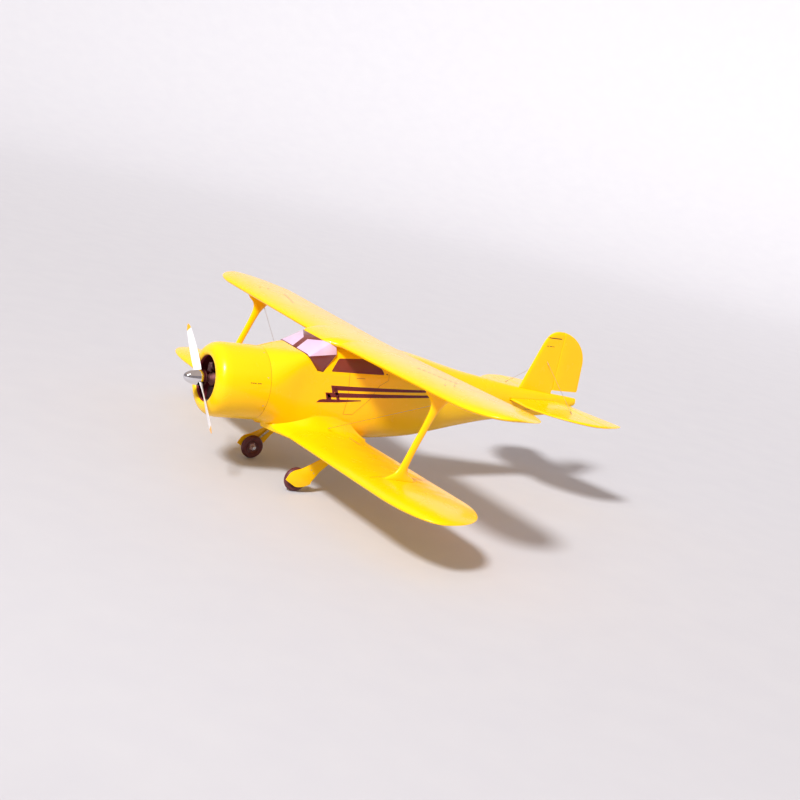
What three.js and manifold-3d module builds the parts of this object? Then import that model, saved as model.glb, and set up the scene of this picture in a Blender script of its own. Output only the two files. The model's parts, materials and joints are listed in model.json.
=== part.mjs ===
// A radio-controlled scale cabin biplane with a tractor engine and retracting main wheels.
// Millimetres. +X is the port side, +Y runs aft from the nose, +Z is up. The model is built on the thrust
// line with the spinner's tip at zero, and the whole group is then set down so that its origin is the point
// of the ground below the middle of the aircraft, which stands level on its main wheels.
import * as THREE from 'three';
import { ConvexGeometry } from 'three/addons/geometries/ConvexGeometry.js';
import { mergeVertices } from 'three/addons/utils/BufferGeometryUtils.js';
import Module from 'manifold-3d';

// Driving dimensions
const overallLength = 1327;
const gap = 0.4; // between neighbours that are cut to fit each other
const skin = 2.6; // fuselage shell thickness
const thrustToGround = 257.5;

const upperWing = {
  leadingEdge: 394, level: 146.6, chord: 236, incidence: 2.4, dihedral: 0.017,
  root: 95.4, halfSpan: 807, tipLength: 160, tipApex: 0.4, tipRise: 9, thickness: 0.12, camber: 0.02,
};
const lowerWing = {
  leadingEdge: 277, level: -110, chord: 255, incidence: 1.5, dihedral: 0.016,
  root: 128.4, halfSpan: 798, tipLength: 188, tipApex: 0.33, tipRise: -4, thickness: 0.12, camber: 0.02,
};
const aileron = { from: 395, to: 690, hinge: 0.76 };
const flap = { from: 150, to: 488, hinge: 0.8 };
const hingeGap = 1;

const propRadius = 176;
const propPlane = 46;
const propAngle = -50; // degrees from upright to the upper blade
const spinnerRadius = 22;
const spinnerBase = 55;
const shaftRadius = 3;

const cowlRadius = 101.5;
const cowlRear = 209;
const fuselageFront = 209.6;
const firewallFront = 226;
const firewallThickness = 5;

const strutX = 525;
const hingeLine = 1229; // rudder and elevator hinges
const finThickness = 9;
const tailplaneLevel = 27;
const tailplaneThickness = 8;
const elevatorInner = 27;

const wheelRadius = 33.5;
const wheelX = 140;
const axle = { y: 317, z: -224 };
const gearPivot = { x: 145, y: 424, z: -118 };
const legX = 152;
const legRadius = 2.6;
const coverX = 158;
const coverThickness = 2;
const wireRadius = 0.6;

const trayLevel = -40;
const tubeRadius = 5;

const wasm = await Module();
wasm.setup();

// A closed geometry as a solid that can be joined and cut.
function toSolid(geometry) {
  const bare = geometry.clone();
  bare.deleteAttribute('normal');
  bare.deleteAttribute('uv');
  const merged = mergeVertices(bare, 1e-4);
  return new wasm.Manifold(new wasm.Mesh({
    numProp: 3,
    vertProperties: merged.attributes.position.array,
    triVerts: new Uint32Array(merged.index.array),
  }));
}

function toGeometry(solid) {
  const mesh = solid.getMesh();
  const geometry = new THREE.BufferGeometry();
  geometry.setAttribute('position', new THREE.BufferAttribute(new Float32Array(mesh.vertProperties), 3));
  geometry.setIndex(new THREE.BufferAttribute(new Uint32Array(mesh.triVerts), 1));
  const flat = geometry.toNonIndexed();
  flat.computeVertexNormals();
  return flat;
}

const join = (...geometries) => toGeometry(geometries.map(toSolid).reduce((a, b) => a.add(b)));
const cut = (geometry, ...cutters) => toGeometry(
  cutters.map(toSolid).reduce((rest, cutter) => rest.subtract(cutter), toSolid(geometry)));
const common = (first, second) => toGeometry(toSolid(first).intersect(toSolid(second)));

// The starboard twin of a port piece.
function mirrored(geometry) {
  const twin = geometry.index ? geometry.toNonIndexed() : geometry.clone();
  const points = twin.attributes.position;
  for (let i = 0; i < points.count; i += 1) points.setX(i, -points.getX(i));
  for (let i = 0; i < points.count; i += 3) {
    const [x, y, z] = [points.getX(i + 1), points.getY(i + 1), points.getZ(i + 1)];
    points.setXYZ(i + 1, points.getX(i + 2), points.getY(i + 2), points.getZ(i + 2));
    points.setXYZ(i + 2, x, y, z);
  }
  twin.computeVertexNormals();
  return twin;
}

// A skin through rings of points, closed by a fan at each end.
function loft(rings) {
  const count = rings[0].length;
  const positions = [];
  const faces = [];
  rings.flat().forEach((p) => positions.push(p.x, p.y, p.z));
  for (let r = 0; r + 1 < rings.length; r += 1) {
    for (let i = 0; i < count; i += 1) {
      const [a, b] = [r * count + i, r * count + (i + 1) % count];
      faces.push(a, b, b + count, a, b + count, a + count);
    }
  }
  [rings[0], rings[rings.length - 1]].forEach((ring, end) => {
    const middle = ring.reduce((sum, p) => sum.add(p), new THREE.Vector3()).divideScalar(count);
    const hub = positions.length / 3;
    const base = end ? (rings.length - 1) * count : 0;
    positions.push(middle.x, middle.y, middle.z);
    for (let i = 0; i < count; i += 1) {
      const [a, b] = [base + i, base + (i + 1) % count];
      faces.push(...(end ? [hub, a, b] : [hub, b, a]));
    }
  });
  const geometry = new THREE.BufferGeometry();
  geometry.setAttribute('position', new THREE.Float32BufferAttribute(positions, 3));
  geometry.setIndex(faces);
  return geometry;
}

// A body turned about the fore-and-aft axis, from [radius, y] points.
function turned(profile, segments = 32) {
  return new THREE.LatheGeometry(profile.map(([r, y]) => new THREE.Vector2(r, y)), segments);
}

// A box from its lowest to its highest corner.
function block(low, high) {
  const size = high.map((value, i) => value - low[i]);
  return new THREE.BoxGeometry(...size).translate(...low.map((value, i) => value + size[i] / 2));
}

// A round rod between two points.
function rod(from, to, radius, segments = 8) {
  const [a, b] = [new THREE.Vector3(...from), new THREE.Vector3(...to)];
  const along = b.clone().sub(a);
  const geometry = new THREE.CylinderGeometry(radius, radius, along.length(), segments);
  const turn = new THREE.Quaternion().setFromUnitVectors(new THREE.Vector3(0, 1, 0), along.normalize());
  return geometry.applyQuaternion(turn).translate(...a.add(b).multiplyScalar(0.5).toArray());
}

const curveSegments = 8;

// A plate seen from the side: its outline is in [y, z], and it runs from x = low to x = high.
function sidePlate(outline, low, high) {
  const drawn = outline instanceof THREE.Shape;
  const shape = drawn ? outline : new THREE.Shape(outline.map(([y, z]) => new THREE.Vector2(y, z)));
  const plate = new THREE.ExtrudeGeometry(shape, { depth: high - low, bevelEnabled: false, curveSegments });
  const axes = new THREE.Matrix4().makeBasis(
    new THREE.Vector3(0, 1, 0), new THREE.Vector3(0, 0, 1), new THREE.Vector3(1, 0, 0));
  return plate.applyMatrix4(axes).translate(low, 0, 0);
}

// A plate seen from above: its outline is in [x, y], and it runs from z = low to z = high.
function flatPlate(shape, low, high) {
  return new THREE.ExtrudeGeometry(shape, { depth: high - low, bevelEnabled: false, curveSegments })
    .translate(0, 0, low);
}

const parts = new THREE.Group();
parts.position.set(0, -overallLength / 2, thrustToGround);

function add(name, geometry, finish) {
  const [color, roughness, metalness] = finish;
  const material = new THREE.MeshStandardMaterial({ color, roughness, metalness });
  const mesh = new THREE.Mesh(geometry, material);
  mesh.name = name;
  parts.add(mesh);
}

const yellow = [0xf7d500, 0.22, 0];
const maroonTyre = [0x2a1012, 0.7, 0];
const paleHub = [0xc9a9a0, 0.35, 0];
const chrome = [0xd8dade, 0.08, 1];
const steel = [0x8c8f94, 0.35, 0.9];
const aluminium = [0xa9adb2, 0.4, 0.9];
const darkMetal = [0x3a3a3d, 0.5, 0.7];
const white = [0xf2f0ec, 0.25, 0];
const black = [0x17171a, 0.5, 0];
const tinted = [0x5a2620, 0.08, 0];
const birch = [0xc9a878, 0.7, 0];
const clearPlastic = [0xe6e2d4, 0.3, 0];

// Propeller, spinner and shaft

// A point of the airscrew's frame: the radial axis is turned to the blade's angle about the thrust line.
const toBladeAngle = (geometry) => geometry.rotateY(THREE.MathUtils.degToRad(propAngle));

function bladeRing(radius, halfWidth, halfThickness, pitch) {
  const sides = 10;
  return Array.from({ length: sides }, (_, i) => {
    const angle = (2 * Math.PI * i) / sides;
    const across = halfWidth * Math.cos(angle);
    const through = halfThickness * Math.sin(angle);
    return new THREE.Vector3(
      across * Math.cos(pitch) - through * Math.sin(pitch),
      propPlane + across * Math.sin(pitch) + through * Math.cos(pitch),
      radius);
  });
}

function blade() {
  const steps = 10;
  const rings = Array.from({ length: steps + 1 }, (_, i) => {
    const t = i / steps;
    const radius = 6 + (propRadius - 6) * t;
    const pitch = Math.atan2(38, 12 + radius);
    const roundedTip = Math.sqrt(1 - Math.max(0, (t - 0.8) / 0.205) ** 2);
    const halfWidth = (7.5 + 6 * Math.sin(Math.PI * Math.min(1, t * 0.95 + 0.05))) * roundedTip;
    return bladeRing(radius, halfWidth, 3.6 - 2.7 * t, pitch);
  });
  return loft(rings);
}

const bladePair = [blade(), blade().rotateY(Math.PI)];
const hub = turned([[0, 40], [11, 40], [11, 52], [0, 52]], 20);
const shaftHole = turned([[0, 0], [shaftRadius + gap, 0], [shaftRadius + gap, 90], [0, 90]], 14);
add('propeller', toBladeAngle(cut(join(hub, ...bladePair), shaftHole)), white);

const spinnerShell = turned([
  [0, 0], [5, 1.2], [10, 5], [14, 11], [17.5, 19], [20, 29], [21.5, 41], [spinnerRadius, spinnerBase],
  [20, spinnerBase], [18.8, 36], [14.5, 18], [8, 7], [0, 3.5],
], 24);
const bladeSlot = block([-9.5, 36, 0], [9.5, spinnerBase + 1, 40]);
add('spinner', toBladeAngle(cut(spinnerShell, bladeSlot, bladeSlot.clone().rotateY(Math.PI))), chrome);
const backplate = turned([[0, 55.4], [21.6, 55.4], [21.6, 58], [0, 58]], 28);
add('spinner_backplate', cut(backplate, shaftHole), aluminium);
add('crankshaft', turned([[0, 31], [shaftRadius, 31], [shaftRadius, 94], [0, 94]], 14), steel);
const nut = new THREE.CylinderGeometry(6, 6, 8, 6).translate(0, 35.5, 0);
add('propeller_nut', cut(nut, shaftHole), steel);

// Engine

const casing = join(
  turned([[0, 58.6], [9, 58.6], [9.5, 72], [20, 82], [20, 112], [17, 116], [0, 116]], 20),
  block([-30, 84, -6], [30, 110, 0]));
const casingBore = turned([[0, 50], [shaftRadius + gap, 50], [shaftRadius + gap, 95], [0, 95]], 14);
add('crankcase', cut(casing, casingBore), aluminium);

function finnedBarrel() {
  const fins = 5;
  const profile = [[0, -20.6], [14, -20.6]];
  for (let i = 0; i < fins; i += 1) {
    const z = -25 - i * 7;
    profile.push([14, z], [19, z], [19, z - 2.5], [14, z - 2.5]);
  }
  profile.push([14, -58], [0, -58]);
  return turned(profile.map(([r, z]) => [r, -z]), 14).rotateX(-Math.PI / 2).translate(0, 97, 0);
}
const casingRoom = turned([[0, 60], [20.8, 60], [20.8, 130], [0, 130]], 20);
add('engine_cylinder', cut(finnedBarrel(), casingRoom), darkMetal);
add('cylinder_head', turned([[0, 58.4], [17, 58.4], [19, 62], [19, 68], [13, 72], [0, 72]], 16)
  .rotateX(-Math.PI / 2).translate(0, 97, 0), aluminium);
add('glow_plug', turned([[0, 72.4], [3.5, 72.4], [3.5, 76], [1.5, 77], [1.5, 84], [0, 84]], 8)
  .rotateX(-Math.PI / 2).translate(0, 97, 0), steel);
add('carburettor', join(
  turned([[0, 0], [7, 0], [7, 22], [5, 24], [0, 24]], 14).rotateX(Math.PI / 2).translate(0, 73, 20.4),
  rod([0, 73, 32], [16, 73, 32], 3.5)), darkMetal);
add('muffler', join(
  turned([[0, 92], [6, 86], [13, 92], [13, 160], [6, 168], [0, 168]], 14).translate(38, 0, -38),
  rod([19.8, 97, -38], [34, 97, -38], 6)), aluminium);
add('engine_mount', join(
  block([-34, firewallFront - 6, -32], [34, firewallFront - gap, 32]),
  block([-31, 100, -16], [-21.5, firewallFront - 5, -6.4]),
  block([21.5, 100, -16], [31, firewallFront - 5, -6.4])), black);

// Cowl

const cowlProfile = [
  [62, 73], [62.5, 66], [65, 62], [70, 60.5], [79, 62], [88, 67], [95, 75], [99, 84], [cowlRadius, 97],
  [cowlRadius, 150], [cowlRadius - 0.5, cowlRear], [cowlRadius - 2.6, cowlRear], [cowlRadius - 2.6, 98],
  [96, 86], [90, 77], [80, 70], [71, 68], [67, 74], [62, 73],
];
add('cowl', turned(cowlProfile, 32), yellow);

// Fuselage

// Each station: distance aft, half width, top, bottom, corner sharpness above and below, widest level,
// and how far the sides lean in towards the roof.
const stations = [
  [fuselageFront, 101, 101, -101, 2, 2, 0, 0],
  [240, 99, 105.5, -107, 2.8, 2.2, -2, 0],
  [275, 95.5, 109.5, -113, 4.6, 2.6, -4, 0],
  [309, 91.5, 112, -118, 8, 3, -5, 0],
  [350, 90, 130, -123, 8, 3.2, -5, 0.12],
  [392, 90, 146, -127, 8, 3.2, -5, 0.2],
  [460, 90, 146, -128, 7, 3.2, -5, 0.2],
  [540, 89, 142, -127.5, 6, 3, -4, 0.2],
  [600, 87, 137, -125, 4.5, 2.8, -2, 0.16],
  [640, 85, 132, -122.5, 3.6, 2.6, 0, 0.12],
  [710, 80, 122, -115, 2.7, 2.4, 3, 0.05],
  [790, 70, 106, -98, 2.3, 2.3, 5, 0],
  [880, 57, 89.5, -76, 2.1, 2.2, 8, 0],
  [980, 43, 76, -54, 2, 2.1, 12, 0],
  [1080, 31, 63, -38, 2, 2, 14, 0],
  [1180, 21, 54, -25, 2, 2, 16, 0],
  [1235, 16, 49, -17, 2, 2, 18, 0],
  [1290, 11, 44.5, 2, 2, 2, 24, 0],
  [1326, 7, 41, 18, 2, 2, 29, 0],
];
const tumbleFrom = 66;
const tumbleOver = 82;

// The fuselage's outer form, moved in by inset, between two distances aft. An inset form starts further
// ahead, so that it cuts the front end open.
function fuselageForm(inset, from = 0, to = overallLength) {
  const around = 28;
  const power = (value, n) => Math.sign(value) * Math.abs(value) ** (2 / n);
  const chosen = stations.filter(([y]) => y >= from && y <= to);
  const rings = chosen.map(([y, half, top, bottom, up, down, mid, tumble]) =>
    Array.from({ length: around }, (_, i) => {
      const angle = -(2 * Math.PI * i) / around;
      const n = Math.sin(angle) > 0 ? up : down;
      const height = Math.sin(angle) > 0 ? top - mid : mid - bottom;
      const z = mid + (height - inset) * power(Math.sin(angle), n);
      const lean = 1 - tumble * Math.min(1, Math.max(0, (z - tumbleFrom) / tumbleOver));
      return new THREE.Vector3((half - inset) * power(Math.cos(angle), n) * lean, y, z);
    }));
  if (inset > 0) rings.unshift(rings[0].map((p) => p.clone().setY(p.y - inset)));
  return loft(rings);
}

// Half the thickness of a four-digit aerofoil at a fraction of its chord, as a fraction of its chord.
const halfThickness = (x, thickness) => 5 * thickness
  * (0.2969 * Math.sqrt(x) - 0.126 * x - 0.3516 * x ** 2 + 0.2843 * x ** 3 - 0.1015 * x ** 4);

// Aerofoil section as a ring of [chord fraction, height fraction], from the trailing edge over the top.
function aerofoil(thickness, camber) {
  const stepsPerSide = 9;
  const bluntEdge = 0.0012;
  const fractions = Array.from({ length: stepsPerSide + 1 },
    (_, i) => 0.5 * (1 + Math.cos((Math.PI * i) / stepsPerSide)));
  const half = (x) => halfThickness(x, thickness) + bluntEdge * x;
  const ahead = (x) => camber * (0.8 * x - x ** 2) / 0.16;
  const behind = (x) => camber * (0.2 + 0.8 * x - x ** 2) / 0.36;
  const line = (x) => (x < 0.4 ? ahead(x) : behind(x));
  const upper = fractions.map((x) => [x, line(x) + half(x)]);
  const lower = fractions.slice(0, -1).reverse().map((x) => [x, line(x) - half(x)]);
  return [...upper, ...lower];
}

// One section of a wing at distance x from the centre line.
function wingRing(wing, x, scale, apexY, grow) {
  const pitch = THREE.MathUtils.degToRad(wing.incidence);
  return aerofoil(wing.thickness, wing.camber).map(([along, height]) => {
    const y = along * wing.chord;
    const z = height * wing.chord + Math.sign(height) * grow;
    const turnedY = wing.leadingEdge + y * Math.cos(pitch) + z * Math.sin(pitch);
    const turnedZ = wing.level - y * Math.sin(pitch) + z * Math.cos(pitch);
    const chordLevel = wing.level - (apexY - wing.leadingEdge) * Math.sin(pitch);
    const rise = wing.tipRise * (1 - scale);
    const level = chordLevel + (turnedZ - chordLevel) * scale + rise;
    return new THREE.Vector3(x, apexY + (turnedY - apexY) * scale, level);
  });
}

// A port wing panel with a rounded tip, in its own frame before the dihedral is set.
function wingPanel(wing, grow = 0) {
  const tipStart = wing.halfSpan - wing.tipLength;
  const apexY = wing.leadingEdge + wing.tipApex * wing.chord;
  const rings = [wingRing(wing, wing.root - grow, 1, apexY, grow)];
  const tipSteps = 7;
  const lastAngle = 1.5;
  for (let i = 0; i <= tipSteps; i += 1) {
    const angle = (i / tipSteps) * lastAngle;
    const x = tipStart + wing.tipLength * Math.sin(angle);
    rings.push(wingRing(wing, x, Math.cos(angle) ** 0.9, apexY, grow));
  }
  return loft(rings);
}

// A hinged surface of a wing: the panel behind the hinge with a round nose, and the notch it leaves.
function hingedSurface(wing, surface) {
  const pitch = THREE.MathUtils.degToRad(wing.incidence);
  const foil = aerofoil(wing.thickness, wing.camber);
  const near = foil.filter(([x]) => Math.abs(x - surface.hinge) < 0.12);
  const middle = near.reduce((sum, [, z]) => sum + z, 0) / near.length;
  const run = surface.hinge * wing.chord;
  const y = wing.leadingEdge + run * Math.cos(pitch);
  const z = wing.level - run * Math.sin(pitch) + middle * wing.chord;
  const radius = halfThickness(surface.hinge, wing.thickness) * wing.chord * 0.94;
  const behind = block([surface.from, y, wing.level - 80], [surface.to, y + 200, wing.level + 80]);
  const nose = rod([surface.from, y, z], [surface.to, y, z], radius, 16);
  const notch = block([surface.from - hingeGap, y - radius - hingeGap, wing.level - 80],
    [surface.to + hingeGap, y + 200, wing.level + 80]);
  return { piece: join(common(wingPanel(wing), behind), nose), notch };
}

const upperAileron = hingedSurface(upperWing, aileron);
const lowerFlap = hingedSurface(lowerWing, flap);

// The dihedral turns a port panel about the fore-and-aft line where it meets the centre.
function setDihedral(geometry, wing) {
  return geometry.translate(-wing.root, 0, -wing.level).rotateY(-wing.dihedral)
    .translate(wing.root, 0, wing.level);
}

// Wing roots and fillets of the lower wing, part of the fuselage moulding. Each section: distance from the
// centre line, and how much longer and deeper it is than the wing's own.
function lowerRoot() {
  const sections = [[40, 1.26, 1.5], [86, 1.16, 1.4], [100, 1.06, 1.18], [114, 1.01, 1.05], [128, 1, 1]];
  return loft(sections.map(([x, longer, deeper]) => wingRing(lowerWing, x, 1, lowerWing.leadingEdge, 0)
    .map((p) => new THREE.Vector3(
      p.x,
      lowerWing.leadingEdge + (p.y - lowerWing.leadingEdge) * longer,
      p.z > lowerWing.level - 4 ? lowerWing.level + (p.z - lowerWing.level) * deeper : p.z))));
}

// The wing's centre section with the cabin's brow in front of it.
function upperCentre(grow = 0) {
  const brow = 35;
  const sections = [[-95, 0], [-76, 19], [-60, brow], [60, brow], [76, 19], [95, 0]];
  return loft(sections.map(([x, forward]) => {
    const ring = wingRing(upperWing, x + Math.sign(x) * grow, 1, upperWing.leadingEdge, grow);
    return ring.map((p) => {
      const ahead = Math.max(0, 1 - (p.y - upperWing.leadingEdge) / 110);
      return new THREE.Vector3(p.x, p.y - (forward + grow) * ahead, p.z + 2 * ahead * (forward / brow));
    });
  }));
}

const tubes = {
  upper: { y: 466, z: 148 },
  lower: { y: 470, z: -108 },
};
const tubeHole = ({ y, z }, half) => rod([-half, y, z], [half, y, z], tubeRadius + 1.6, 12);

// Wheel wells, leg slots and pivot pockets that the retracting gear folds into
function gearRoom() {
  const stowedX = gearPivot.x + axle.z - gearPivot.z;
  const around = wheelRadius + 4.5;
  const well = block([stowedX - 36, axle.y - around, -145], [stowedX + around + 3, axle.y + around, -97]);
  const [across, aft] = [gearPivot.x - stowedX, gearPivot.y - axle.y];
  const slot = new THREE.BoxGeometry(Math.hypot(across, aft) + 20, 13, 34)
    .rotateZ(Math.atan2(aft, across))
    .translate(stowedX + across / 2, axle.y + aft / 2, -131);
  const pocket = block([136, 396, -145], [160, 438, -111]);
  return [well, slot, pocket];
}
const portRoom = gearRoom();
const starboardRoom = portRoom.map(mirrored);

const screenOpening = sidePlate([
  [300, 113], [308.5, 107.4], [343.6, 69.4], [362.5, 67.4], [394.7, 119], [394.7, 170], [300, 170],
], -120, 120);
const windowOutline = [[387, 71], [408, 108], [490, 113], [552, 90], [561, 75]];
const windowMiddle = [480, 91];
function grownWindow(by) {
  return windowOutline.map(([y, z]) => {
    const away = Math.hypot(y - windowMiddle[0], z - windowMiddle[1]);
    return [y + ((y - windowMiddle[0]) / away) * by, z + ((z - windowMiddle[1]) / away) * by];
  });
}

const tailSlot = block([-70, 1049, tailplaneLevel - tailplaneThickness / 2 - gap],
  [70, hingeLine - 4, tailplaneLevel + tailplaneThickness / 2 + gap]);
const tailWheelSlot = block([-7, 1104, -60], [7, 1148, -14]);
const bellyFlat = block([-120, 396, -160], [120, 560, -126.5]);
const hollow = fuselageForm(skin, 0, 1100);
const outer = join(fuselageForm(0), lowerRoot(), mirrored(lowerRoot()));
add('fuselage', cut(outer, hollow, screenOpening, sidePlate(windowOutline, 50, 130),
  sidePlate(windowOutline, -130, -50), upperCentre(gap), tailSlot, tailWheelSlot, bellyFlat,
  rod([-40, hingeLine, tailplaneLevel], [40, hingeLine, tailplaneLevel], 3.4, 12),
  tubeHole(tubes.lower, 150), ...portRoom, ...starboardRoom), yellow);

const firewallSlab = block([-110, firewallFront, -115], [110, firewallFront + firewallThickness, 120]);
add('firewall', common(fuselageForm(skin + gap, 0, 400), firewallSlab), birch);
const traySlab = block([-110, 236, trayLevel], [110, 640, trayLevel + 3]);
add('equipment_tray', common(fuselageForm(skin + gap, 0, 700), traySlab), birch);

// Glazing

function screenHull(shrink) {
  const port = [[13, 315, 112], [78, 309, 111], [89.4, 309.4, 107.5], [89.4, 344, 70], [89.4, 362, 68],
    [86, 394, 119], [73, 394, 146], [75, 374, 146], [61, 358, 149], [12, 337, 138]];
  const points = port.flatMap(([x, y, z]) => {
    const inwards = x - (x > 20 ? shrink : 0);
    const back = y < 380 ? y + shrink * 1.2 : y + shrink * 12;
    const down = z > 100 ? z - shrink : z - shrink * 4;
    return [new THREE.Vector3(inwards, back, down), new THREE.Vector3(-inwards, back, down)];
  });
  return new ConvexGeometry(points);
}
add('windscreen', cut(screenHull(0), screenHull(2), upperCentre(gap),
  block([-100, 309, 0], [100, 420, 67.9])), tinted);
const glass = cut(fuselageForm(0, 300, 700), fuselageForm(1.8, 300, 700));
add('window_port', common(glass, sidePlate(grownWindow(-gap), 40, 130)), tinted);
add('window_starboard', common(glass, sidePlate(grownWindow(-gap), -130, -40)), tinted);

// Wings

add('upper_wing_centre', cut(upperCentre(), tubeHole(tubes.upper, 150)), yellow);
const sparTube = ({ y, z }, half) => rod([-half, y, z], [half, y, z], tubeRadius, 12);
add('upper_spar_tube', sparTube(tubes.upper, 150), aluminium);
add('lower_spar_tube', sparTube(tubes.lower, 186), aluminium);

const upperPanel = setDihedral(cut(wingPanel(upperWing), upperAileron.notch), upperWing);
const upperPort = cut(upperPanel, tubeHole(tubes.upper, 152));
add('upper_wing_port', upperPort, yellow);
add('upper_wing_starboard', mirrored(upperPort), yellow);
const aileronPort = setDihedral(upperAileron.piece, upperWing);
add('aileron_port', aileronPort, yellow);
add('aileron_starboard', mirrored(aileronPort), yellow);

const lowerPanel = setDihedral(cut(wingPanel(lowerWing), lowerFlap.notch), lowerWing);
const lowerPort = cut(lowerPanel, tubeHole(tubes.lower, 188), ...portRoom);
add('lower_wing_port', lowerPort, yellow);
add('lower_wing_starboard', mirrored(lowerPort), yellow);
const flapPort = setDihedral(lowerFlap.piece, lowerWing);
add('flap_port', flapPort, yellow);
add('flap_starboard', mirrored(flapPort), yellow);

// Interplane struts and wires

// Each level of the strut: height, middle, half chord, half thickness.
const strutLevels = [
  [-102, 380, 56, 8], [-88, 382, 49, 7.5], [-78, 385, 31, 7], [-68, 388, 18, 6.5], [-50, 393, 12, 6],
  [0, 409, 10.5, 6], [50, 427, 10.5, 6], [90, 441, 12.5, 6], [112, 449, 19, 6.5], [126, 453, 29, 7],
  [138, 453, 42, 7.5], [148, 452, 48, 8],
];
function strut() {
  const sides = 14;
  return loft(strutLevels.map(([z, y, chord, thick]) => Array.from({ length: sides }, (_, i) => {
    const angle = (2 * Math.PI * i) / sides;
    return new THREE.Vector3(strutX + thick * Math.cos(angle), y + chord * Math.sin(angle), z);
  })));
}
const strutPort = cut(strut(), setDihedral(wingPanel(upperWing, gap), upperWing),
  setDihedral(wingPanel(lowerWing, gap), lowerWing));
add('strut_port', strutPort, yellow);
add('strut_starboard', mirrored(strutPort), yellow);

const flyingWire = rod([518, 462, 115.8], [110, 402, -84], wireRadius);
add('flying_wire_port', flyingWire, steel);
add('flying_wire_starboard', mirrored(flyingWire), steel);

// Tail

function finOutline() {
  const shape = new THREE.Shape();
  shape.moveTo(1094, 46);
  shape.lineTo(1226, 46);
  shape.lineTo(1226, 60);
  shape.lineTo(overallLength - 7, 58);
  shape.quadraticCurveTo(overallLength, 58, overallLength, 65);
  shape.lineTo(1323, 143);
  shape.bezierCurveTo(1323, 205, 1262, 245, 1211, 245);
  shape.bezierCurveTo(1183, 245, 1166, 233, 1155, 209);
  shape.lineTo(1094, 46);
  return shape;
}
const finForm = sidePlate(finOutline(), -finThickness / 2, finThickness / 2);
const noseRadius = finThickness / 2;
add('fin', cut(common(finForm, block([-20, 1000, 0], [20, hingeLine - noseRadius - hingeGap, 260])),
  fuselageForm(-gap), rod([-20, 1180, 150], [20, 1180, 150], 1.4)), yellow);
const rudderNose = rod([0, hingeLine, 60.4], [0, hingeLine, 243], noseRadius, 16);
add('rudder', join(common(finForm, block([-20, hingeLine, 50], [20, 1400, 260])), rudderNose), yellow);

function tailplaneOutline() {
  const shape = new THREE.Shape();
  shape.moveTo(0, 1052);
  shape.lineTo(110, 1052);
  shape.bezierCurveTo(190, 1062, 284, 1150, 284, 1222);
  shape.bezierCurveTo(284, 1262, 272, 1300, 254, 1308);
  shape.bezierCurveTo(225, 1309, 130, 1278, elevatorInner, 1263);
  shape.lineTo(0, 1263);
  shape.lineTo(0, 1052);
  return shape;
}
const halfTail = flatPlate(tailplaneOutline(), tailplaneLevel - tailplaneThickness / 2,
  tailplaneLevel + tailplaneThickness / 2);
const tailForm = join(halfTail, mirrored(halfTail));
const elevatorNose = tailplaneThickness / 2;
const aheadOfHinge = block([-300, 1000, 0], [300, hingeLine - elevatorNose - hingeGap, 50]);
add('tailplane', common(tailForm, aheadOfHinge), yellow);
const elevatorHalf = join(
  common(tailForm, block([elevatorInner, hingeLine, 0], [300, 1400, 60])),
  rod([elevatorInner, hingeLine, tailplaneLevel], [282, hingeLine, tailplaneLevel], elevatorNose, 16),
  rod([-5, hingeLine, tailplaneLevel], [elevatorInner + 4, hingeLine, tailplaneLevel], 2.6, 10));
add('elevator', join(elevatorHalf, mirrored(elevatorHalf)), yellow);

const tailplaneTop = tailplaneLevel + tailplaneThickness / 2;
const tailWire = rod([5.2, 1180, 148], [176, 1180, tailplaneTop + 1.4], wireRadius);
add('tail_wire_port', tailWire, steel);
add('tail_wire_starboard', mirrored(tailWire), steel);
add('tail_wheel_axle', rod([-6.6, 1126, -29], [6.6, 1126, -29], 1.5, 10), steel);
add('tail_wheel', cut(turned([[0, -3.5], [10, -3.5], [12.5, 0], [10, 3.5], [0, 3.5]], 20)
  .rotateZ(Math.PI / 2).translate(0, 1126, -29), rod([-9, 1126, -29], [9, 1126, -29], 1.8, 10)), maroonTyre);

// Main landing gear

const wheelPlace = [wheelX, axle.y, axle.z];
const tyreProfile = [
  [18.4, -6], [24, -8.4], [29.4, -7.8], [32.2, -5.2], [wheelRadius, 0],
  [32.2, 5.2], [29.4, 7.8], [24, 8.4], [18.4, 6], [18.4, -6],
];
const tyre = turned(tyreProfile, 28).rotateZ(Math.PI / 2).translate(...wheelPlace);
const wheelHub = cut(
  turned([
    [0, -7], [6, -7], [7, -4], [15, -3.4], [18, -6.4], [18, 6.4], [15, 3.4], [7, 4], [6, 7], [0, 7],
  ], 20).rotateZ(Math.PI / 2).translate(...wheelPlace),
  rod([120, axle.y, axle.z], [158, axle.y, axle.z], 2.9, 12));
const legTop = [legX, gearPivot.y - 12, gearPivot.z - 11];
const legFoot = [legX + 1, axle.y, axle.z];
const springAt = [0.52, 0.68].map((share) => legTop.map((value, i) => value + (legFoot[i] - value) * share));
const leg = join(
  rod([gearPivot.x, gearPivot.y - 9, gearPivot.z], [gearPivot.x, gearPivot.y + 10, gearPivot.z], 4, 10),
  rod([gearPivot.x, gearPivot.y + 1, gearPivot.z], legTop, legRadius),
  rod(legTop, legFoot, legRadius),
  rod(...springAt, 4.4, 10),
  rod([legX + 3.6, axle.y, axle.z], [123, axle.y, axle.z], 2.5, 10));
const collar = cut(rod([124, axle.y, axle.z], [129.6, axle.y, axle.z], 4.6, 12),
  rod([120, axle.y, axle.z], [134, axle.y, axle.z], 2.9, 12));
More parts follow.
